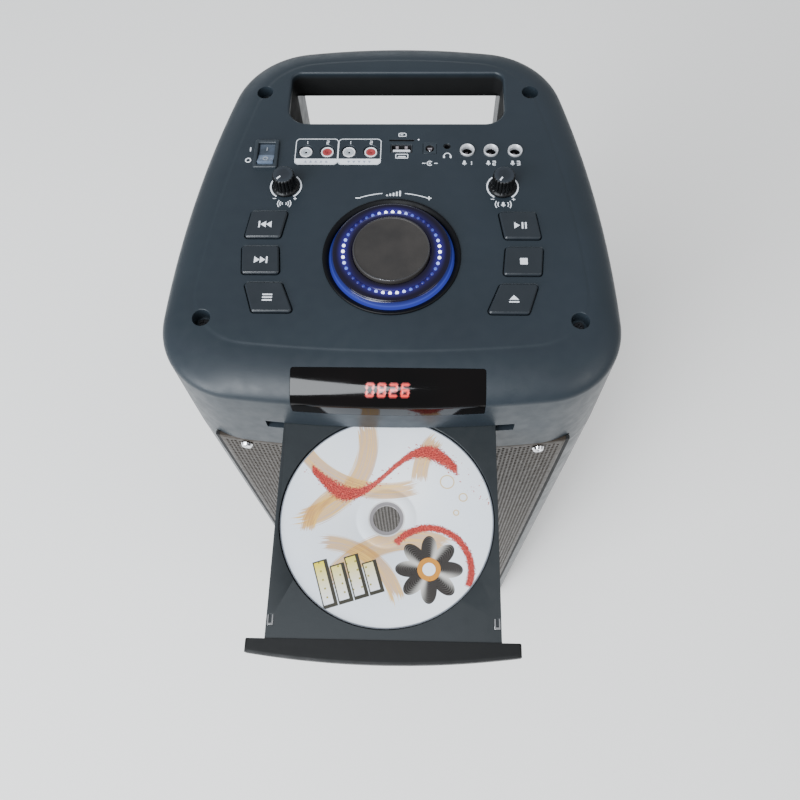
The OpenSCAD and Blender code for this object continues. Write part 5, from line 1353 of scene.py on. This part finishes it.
class KARAOKE_OT_prints(bpy.types.Operator):
    """Make the white print on the panel: scales, frames, signs and plain numerals"""
    bl_idname = "karaoke.prints"
    bl_label = "Printed marks"

    def execute(self, context):
        low = TOP_Z - 0.02
        high = TOP_Z + sizes().print_height / MM
        arrows = []

        def line(path, width, closed=False):
            return stroke(path, width, low, high, closed)

        def bar(width, depth, radius, at):
            return block(width, depth, radius, at, low, high)

        def sign(kind, at, size):
            return icon(kind, at, low, high, size)

        def capsule(at):
            x, y = at
            return [bar(1.5, 2.6, 0.7, (x, y + 0.5)), line(arc((x, y + 0.2), 1.35, 195, 345, 12), 0.4),
                    bar(0.5, 0.7, 0.1, (x, y - 1.5))]

        shapes = []
        for s in (1, -1):
            shapes.append(line(arc((0, -54.4), 59, 90 - s * 6.8, 90 - s * 20.5, 12), 0.6))
        shapes += [sign("minus", (-21.9, 0.6), 1.3), sign("plus", (21.9, 0.6), 1.2)]
        # Rising bars over the dial in place of a word
        shapes += [bar(1.1, 1.0 + 0.75 * i, 0.1, (-4 + 2 * i, 2.7 + 0.375 * i)) for i in range(5)]
        for x, y in SMALL_KNOBS.values():
            shapes += [line(arc((x, y + 0.5), 9.5, -56, 50, 24), 0.9),
                       line(arc((x, y + 0.5), 9.5, 236, 130, 24), 0.9),
                       sign("minus", (x - 6.4, y - 9.0), 0.85), sign("plus", (x + 6.4, y - 9.0), 0.85)]
        # Echo sign: waves that spread to both sides; voice sign: a capsule on a stand between two waves
        x, y = SMALL_KNOBS["echo"]
        for radius in (1.3, 2.7, 4.1):
            shapes += [line(arc((x, y - 12.9), radius, -38, 38, 10), 0.6),
                       line(arc((x, y - 12.9), radius, 142, 218, 10), 0.6)]
        x, y = SMALL_KNOBS["mic_volume"]
        shapes += capsule((x, y - 12.9))
        for radius in (3.2, 4.8):
            shapes += [line(arc((x, y - 12.9), radius, -32, 32, 10), 0.6),
                       line(arc((x, y - 12.9), radius, 148, 212, 10), 0.6)]
        for x0, x1, tip in ((-63.6, -36.2, 1.1), (-36.2, -8.8, -1.1)):
            mid, width = (x0 + x1) / 2, x1 - x0
            shapes.append(line(rect(width - 0.45, 20.6, 2.4, (mid, 37.2), 6), 0.45, True))
            shapes.append(prism(round_box(width - 0.8, 4.4, 2.0, 0.1, 0, (mid, 29.2)), low, high))
            # Arrows on the white field: up for the sockets that send, down for those that receive
            arrows += [prism(np.array([(x - 1.0, 29 - tip * 0.7), (x + 1.0, 29 - tip * 0.7),
                                       (x, 29 + tip)][::int(math.copysign(1, tip))]), high, high + 0.03)
                       for x in mid + np.array((-6.6, -3.3, 0, 3.3, 6.6))]
        for i, x in enumerate(PHONO_X):
            shapes += numeral(str(i % 2 + 1), (x - 0.6, 43.4), 2.5, low, high, 0.2)
        for i, (x, y) in enumerate(PHONE_AT):
            shapes += numeral(str(i + 1), (x + 0.9, 26.7), 3.0, low, high, 0.22) + capsule((x - 1.9, 28.3))
        shapes.append(bar(0.8, 3.2, 0.1, (-92.4, 38.9)))
        shapes.append(line(arc((-93.1, 30.1), 1.6, 0, 345, 23), 0.7, True))
        # Signs by the small sockets: card, data, power and line
        shapes += [line(round_box(4.6, 2.6, 0.3, 1.0, 0, (4.5, 51.2), 4), 0.5, True),
                   bar(1.6, 0.6, 0.1, (4.1, 51.2))]
        shapes += [line(rect(7.6, 3.1, 0.4, (4.4, 33.6), 4), 0.55, True), bar(4.8, 0.9, 0.1, (4.4, 33.2))]
        shapes += [line(arc((22.2, 27.9), 1.7, 40, 320, 20), 0.6),
                   prism(arc((22.2, 27.9), 0.65, 0, 345, 23), low, high), bar(2.2, 0.6, 0.1, (18.4, 27.9)),
                   bar(2.2, 0.6, 0.1, (26.0, 27.9))]
        shapes += [line(arc((33.2, 34.0), 2.1, 0, 180, 16), 0.6)]
        shapes += [bar(1.2, 1.9, 0.3, (33.2 + x, 33.2)) for x in (-2.1, 2.1)]
        add("field_arrows", join(*arrows), "field grey")
        add("panel_print", join(*shapes), "marks")
        return {"FINISHED"}


def shoulder_middle(count=60):
    """Length along the shoulder's middle section from the panel's crease forwards, its depth and height"""
    a = np.radians(np.linspace(90, 0, count))
    out = np.maximum(np.cos(a), 0) ** 1.15
    y = (FRONT_Y + SHOULDER_FRONT) * (1 - out) + (FRONT_Y + DRAFT) * out
    z = TOP_Z - SHOULDER_H + (SHOULDER_H - STEP_H) * np.sin(a)
    run = np.concatenate(([0], np.cumsum(np.hypot(np.diff(y), np.diff(z)))))
    return run, y, z


class KARAOKE_OT_display(bpy.types.Operator):
    """Make the display window in the shoulder and its lit numerals"""
    bl_idname = "karaoke.display"
    bl_label = "Display"

    def execute(self, context):
        lens = make("display_lens_piece", top_stack(0, SEAM_Z, 30))
        carve(lens, stack([level(lens_outline(0), LENS_LOW), level(lens_outline(0), TOP_Z + 4)]),
              "INTERSECT")
        carve(lens, make("inside", top_stack(2.4, SEAM_Z - 1, 12)))
        dress(lens, "body", "display black", ("display_lens",), 24)
        softened("display_board", "circuit", "body", 0.15, 1)
        run, y, z = shoulder_middle()
        for name, grow, lift, paint in (("digit_glow", 0.4, 0.02, "digit glow"),
                                        ("digits", 0.17, 0.05, "digits")):
            shapes = []
            for i, digit in enumerate("0826"):
                shapes += numeral(digit, (-11.7 + 6.5 * i, 0), 6.3, 0, 0.04, grow)
            points, groups = join(*shapes)
            along = 24.9 - points[:, 1]
            flat = points.copy()
            flat[:, 0] = points[:, 0] + points[:, 1] * 0.06
            flat[:, 1] = np.interp(along, run, y) + bowed(flat[:, 0])
            slope = np.gradient(z, run)
            rise = np.interp(along, run, slope)
            flat[:, 2] = np.interp(along, run, z) + (points[:, 2] + lift) * np.sqrt(np.maximum(1 - rise ** 2,
                                                                                               0.05))
            flat[:, 1] += (points[:, 2] + lift) * rise
            dress(make(name, (flat, groups)), "body", paint)
        return {"FINISHED"}


class KARAOKE_OT_tray(bpy.types.Operator):
    """Finish the tray and make its bowed front bezel"""
    bl_idname = "karaoke.tray"
    bl_label = "Tray"

    def execute(self, context):
        softened("tray", "tray", "tray", 0.3, 2, 30)
        softened("tray_clips", "chrome", "tray", 0.08, 1)
        front, half = DISC_Y - TRAY_AHEAD, BEZEL_W / 2
        xs = np.linspace(-half, half, 61)

        def outline(grow):
            y = front - 12 - grow + 5 * (xs / half) ** 2
            bow = np.column_stack((xs * (half + grow) / half, y))
            return np.vstack((bow, [(half + grow, front - 0.5), (half - 0.4 + grow, front),
                                    (0.4 - half - grow, front), (-half - grow, front - 0.5)]))

        low, high = BEZEL_LOW, BEZEL_TOP
        profile = [(-0.7, low), (-0.2, low + 0.2), (0, low + 0.7), (0, high - 0.8), (-0.24, high - 0.24),
                   (-0.8, high), (-1.6, high)]
        bezel = stack([level(outline(k), z) for k, z in profile])
        add("tray_bezel_piece", bezel, "bezel", ("tray_bezel",), 35, body="tray")
        return {"FINISHED"}


class KARAOKE_OT_disc(bpy.types.Operator):
    """Make the disc with its stacking ring, hub step and printed face"""
    bl_idname = "karaoke.disc"
    bl_label = "Disc"

    def execute(self, context):
        low, high, r = DISC_TOP - DISC_T, DISC_TOP, DISC_R
        profile = [(7.5, low + 0.1), (7.6, low), (r - 0.15, low), (r, low + 0.15), (r, high - 0.15),
                   (r - 0.15, high), (17.9, high), (17.6, high - 0.12), (16.4, high - 0.12), (16.1, high),
                   (10.2, high), (10.05, high - 0.06), (7.6, high - 0.06), (7.5, high - 0.16)]
        add("disc_piece", turned(profile, (0, DISC_Y), 0, 200), "disc print", ("disc",), 25,
            body="disc")
        return {"FINISHED"}


class KARAOKE_OT_drive(bpy.types.Operator):
    """Finish the disc drive behind the slot"""
    bl_idname = "karaoke.drive"
    bl_label = "Disc drive"

    def execute(self, context):
        softened("drive_chassis", "matte black", "body", 0.3, 1)
        softened("drive_gear", "gear white", "drive_gear", 0.1, 1)
        softened("tray_motor", "stamped steel", "body", 0.4, 2)
        softened("loader_deck", "dark steel", "deck", 0.25, 1)
        softened("turntable", "matte black", "turntable", 0.2, 2)
        softened("laser_sled", "matte black", "laser_sled", 0.2, 1)
        softened("disc_clamp", "matte black", "disc_clamp", 0.25, 2)
        return {"FINISHED"}


class KARAOKE_OT_drivers(bpy.types.Operator):
    """Finish the drivers, the baffle and the frame behind the grille"""
    bl_idname = "karaoke.drivers"
    bl_label = "Drivers"

    def execute(self, context):
        for side in ("upper", "lower"):
            softened(f"{side}_woofer_basket", "dark steel", "body", 0.3, 1)
            refinish(f"{side}_woofer_cone", f"{side} cone")
            refinish(f"{side}_woofer_surround", "rubber")
            softened(f"{side}_woofer_magnet", "ferrite", "body", 0.8, 2)
        softened("tweeter", "frame black", "body", 0.5, 2)
        refinish("front_baffle", "fibre board")
        refinish("front_frame", "frame black")
        return {"FINISHED"}


class KARAOKE_OT_boards(bpy.types.Operator):
    """Finish the boards, the battery and the parts on the control board"""
    bl_idname = "karaoke.boards"
    bl_label = "Boards and battery"

    def execute(self, context):
        softened("control_board", "circuit", "body", 0.15, 1)
        softened("amplifier_board", "circuit", "body", 0.2, 1)
        softened("battery_pack", "battery wrap", "body", 4.0, 4)
        for node in ("volume_encoder", "echo_pot", "mic_volume_pot"):
            softened(node, "stamped steel", "body", 0.2, 1)
        return {"FINISHED"}


class KARAOKE_OT_stage(bpy.types.Operator):
    """Make the pale floor, the soft lights and the camera at the photo's angle"""
    bl_idname = "karaoke.stage"
    bl_label = "Stage"

    def execute(self, context):
        corners = np.array([(-6000, -6000, 0), (6000, -6000, 0), (6000, 6000, 0), (-6000, 6000, 0)], float)
        floor = make("floor", (corners, [np.array([[0, 1, 2, 3]])]))
        floor.data.materials.append(finish("floor"))
        world = bpy.data.worlds.new("studio")
        bpy.context.scene.world = world
        world.use_nodes = True
        world.node_tree.nodes["Background"].inputs[0].default_value = (0.93, 0.96, 1.0, 1)
        world.node_tree.nodes["Background"].inputs[1].default_value = 0.5
        for name, power, tint, size, at, target in (
                ("key", 58, (0.9, 0.95, 1.0), (1.5, 1.0), (-1.7, -1.6, 1.55), (0, 0, 0.6)),
                ("window", 128, (0.92, 0.96, 1.0), (0.95, 2.6), (-1.0, -1.6, 3.05), (0, -0.2, 0.3)),
                ("fill", 14, (1.0, 0.98, 0.95), (1.2, 1.2), (1.9, -0.9, 2.3), (0, 0, 0.4)),
                ("rim", 7, (0.85, 0.93, 1.0), (2.0, 0.5), (-0.6, 2.6, 1.1), (0, 0, 0.8))):
            light = bpy.data.lights.new(name, "AREA")
            light.energy, light.shape, light.size, light.size_y = power, "RECTANGLE", size[0], size[1]
            light.color = tint
            lamp_object = bpy.data.objects.new(name, light)
            bpy.context.scene.collection.objects.link(lamp_object)
            direction = np.array(target) - np.array(at)
            flat = math.hypot(direction[0], direction[1])
            lamp_object.location = at
            lamp_object.rotation_euler = (math.atan2(flat, -direction[2]), 0,
                                          math.atan2(-direction[0], direction[1]))
        # Camera solved from the photo: its focal length is in pixels of the photo's frame
        pitch, yaw, roll = PITCH, YAW, ROLL
        ahead = np.array([-math.sin(yaw) * math.cos(pitch), math.cos(yaw) * math.cos(pitch),
                          -math.sin(pitch)])
        right = np.array([math.cos(yaw), math.sin(yaw), 0])
        above = np.array([-math.sin(yaw) * math.sin(pitch), math.cos(yaw) * math.sin(pitch),
                          math.cos(pitch)])
        side = math.cos(roll) * right + math.sin(roll) * above
        top = -math.sin(roll) * right + math.cos(roll) * above
        data = bpy.data.cameras.new("camera")
        data.sensor_fit, data.sensor_width, data.lens = "HORIZONTAL", SENSOR_MM, FOCAL_MM
        data.clip_start, data.clip_end = 0.02, 30
        camera = bpy.data.objects.new("camera", data)
        bpy.context.scene.collection.objects.link(camera)
        matrix = np.eye(4)
        matrix[:3, 0], matrix[:3, 1], matrix[:3, 2] = side, top, -ahead
        matrix[:3, 3] = CAMERA_AT
        camera.matrix_world = Matrix(matrix.tolist())
        bpy.context.scene.camera = camera
        return {"FINISHED"}


OPERATORS = (KARAOKE_OT_stage, KARAOKE_OT_top_shell, KARAOKE_OT_cabinet, KARAOKE_OT_grille,
             KARAOKE_OT_screws, KARAOKE_OT_dial, KARAOKE_OT_small_knobs, KARAOKE_OT_power_switch,
             KARAOKE_OT_buttons, KARAOKE_OT_sockets, KARAOKE_OT_prints, KARAOKE_OT_display, KARAOKE_OT_tray,
             KARAOKE_OT_disc, KARAOKE_OT_drive, KARAOKE_OT_drivers, KARAOKE_OT_boards)


class KARAOKE_PT_pieces(bpy.types.Panel):
    """Lists the sizes, the colours and one button for each group of pieces"""
    bl_label = "Karaoke tower speaker"
    bl_idname = "KARAOKE_PT_pieces"
    bl_space_type = "VIEW_3D"
    bl_region_type = "UI"
    bl_category = "Karaoke"

    def draw(self, context):
        for group in (context.scene.karaoke_sizes, context.scene.karaoke_colours):
            for name in group.__annotations__:
                self.layout.prop(group, name)
        for operator in OPERATORS:
            self.layout.operator(operator.bl_idname)


CLASSES = (KaraokeSizes, KaraokeColours) + OPERATORS + (KARAOKE_PT_pieces,)


def register():
    for cls in CLASSES:
        bpy.utils.register_class(cls)
    bpy.types.Scene.karaoke_sizes = bpy.props.PointerProperty(type=KaraokeSizes)
    bpy.types.Scene.karaoke_colours = bpy.props.PointerProperty(type=KaraokeColours)


def unregister():
    del bpy.types.Scene.karaoke_colours
    del bpy.types.Scene.karaoke_sizes
    for cls in reversed(CLASSES):
        bpy.utils.unregister_class(cls)


def main():
    """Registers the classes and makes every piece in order"""
    register()
    for operator in OPERATORS:
        family, name = operator.bl_idname.split(".")
        getattr(getattr(bpy.ops, family), name)()


if __name__ == "__main__":
    main()
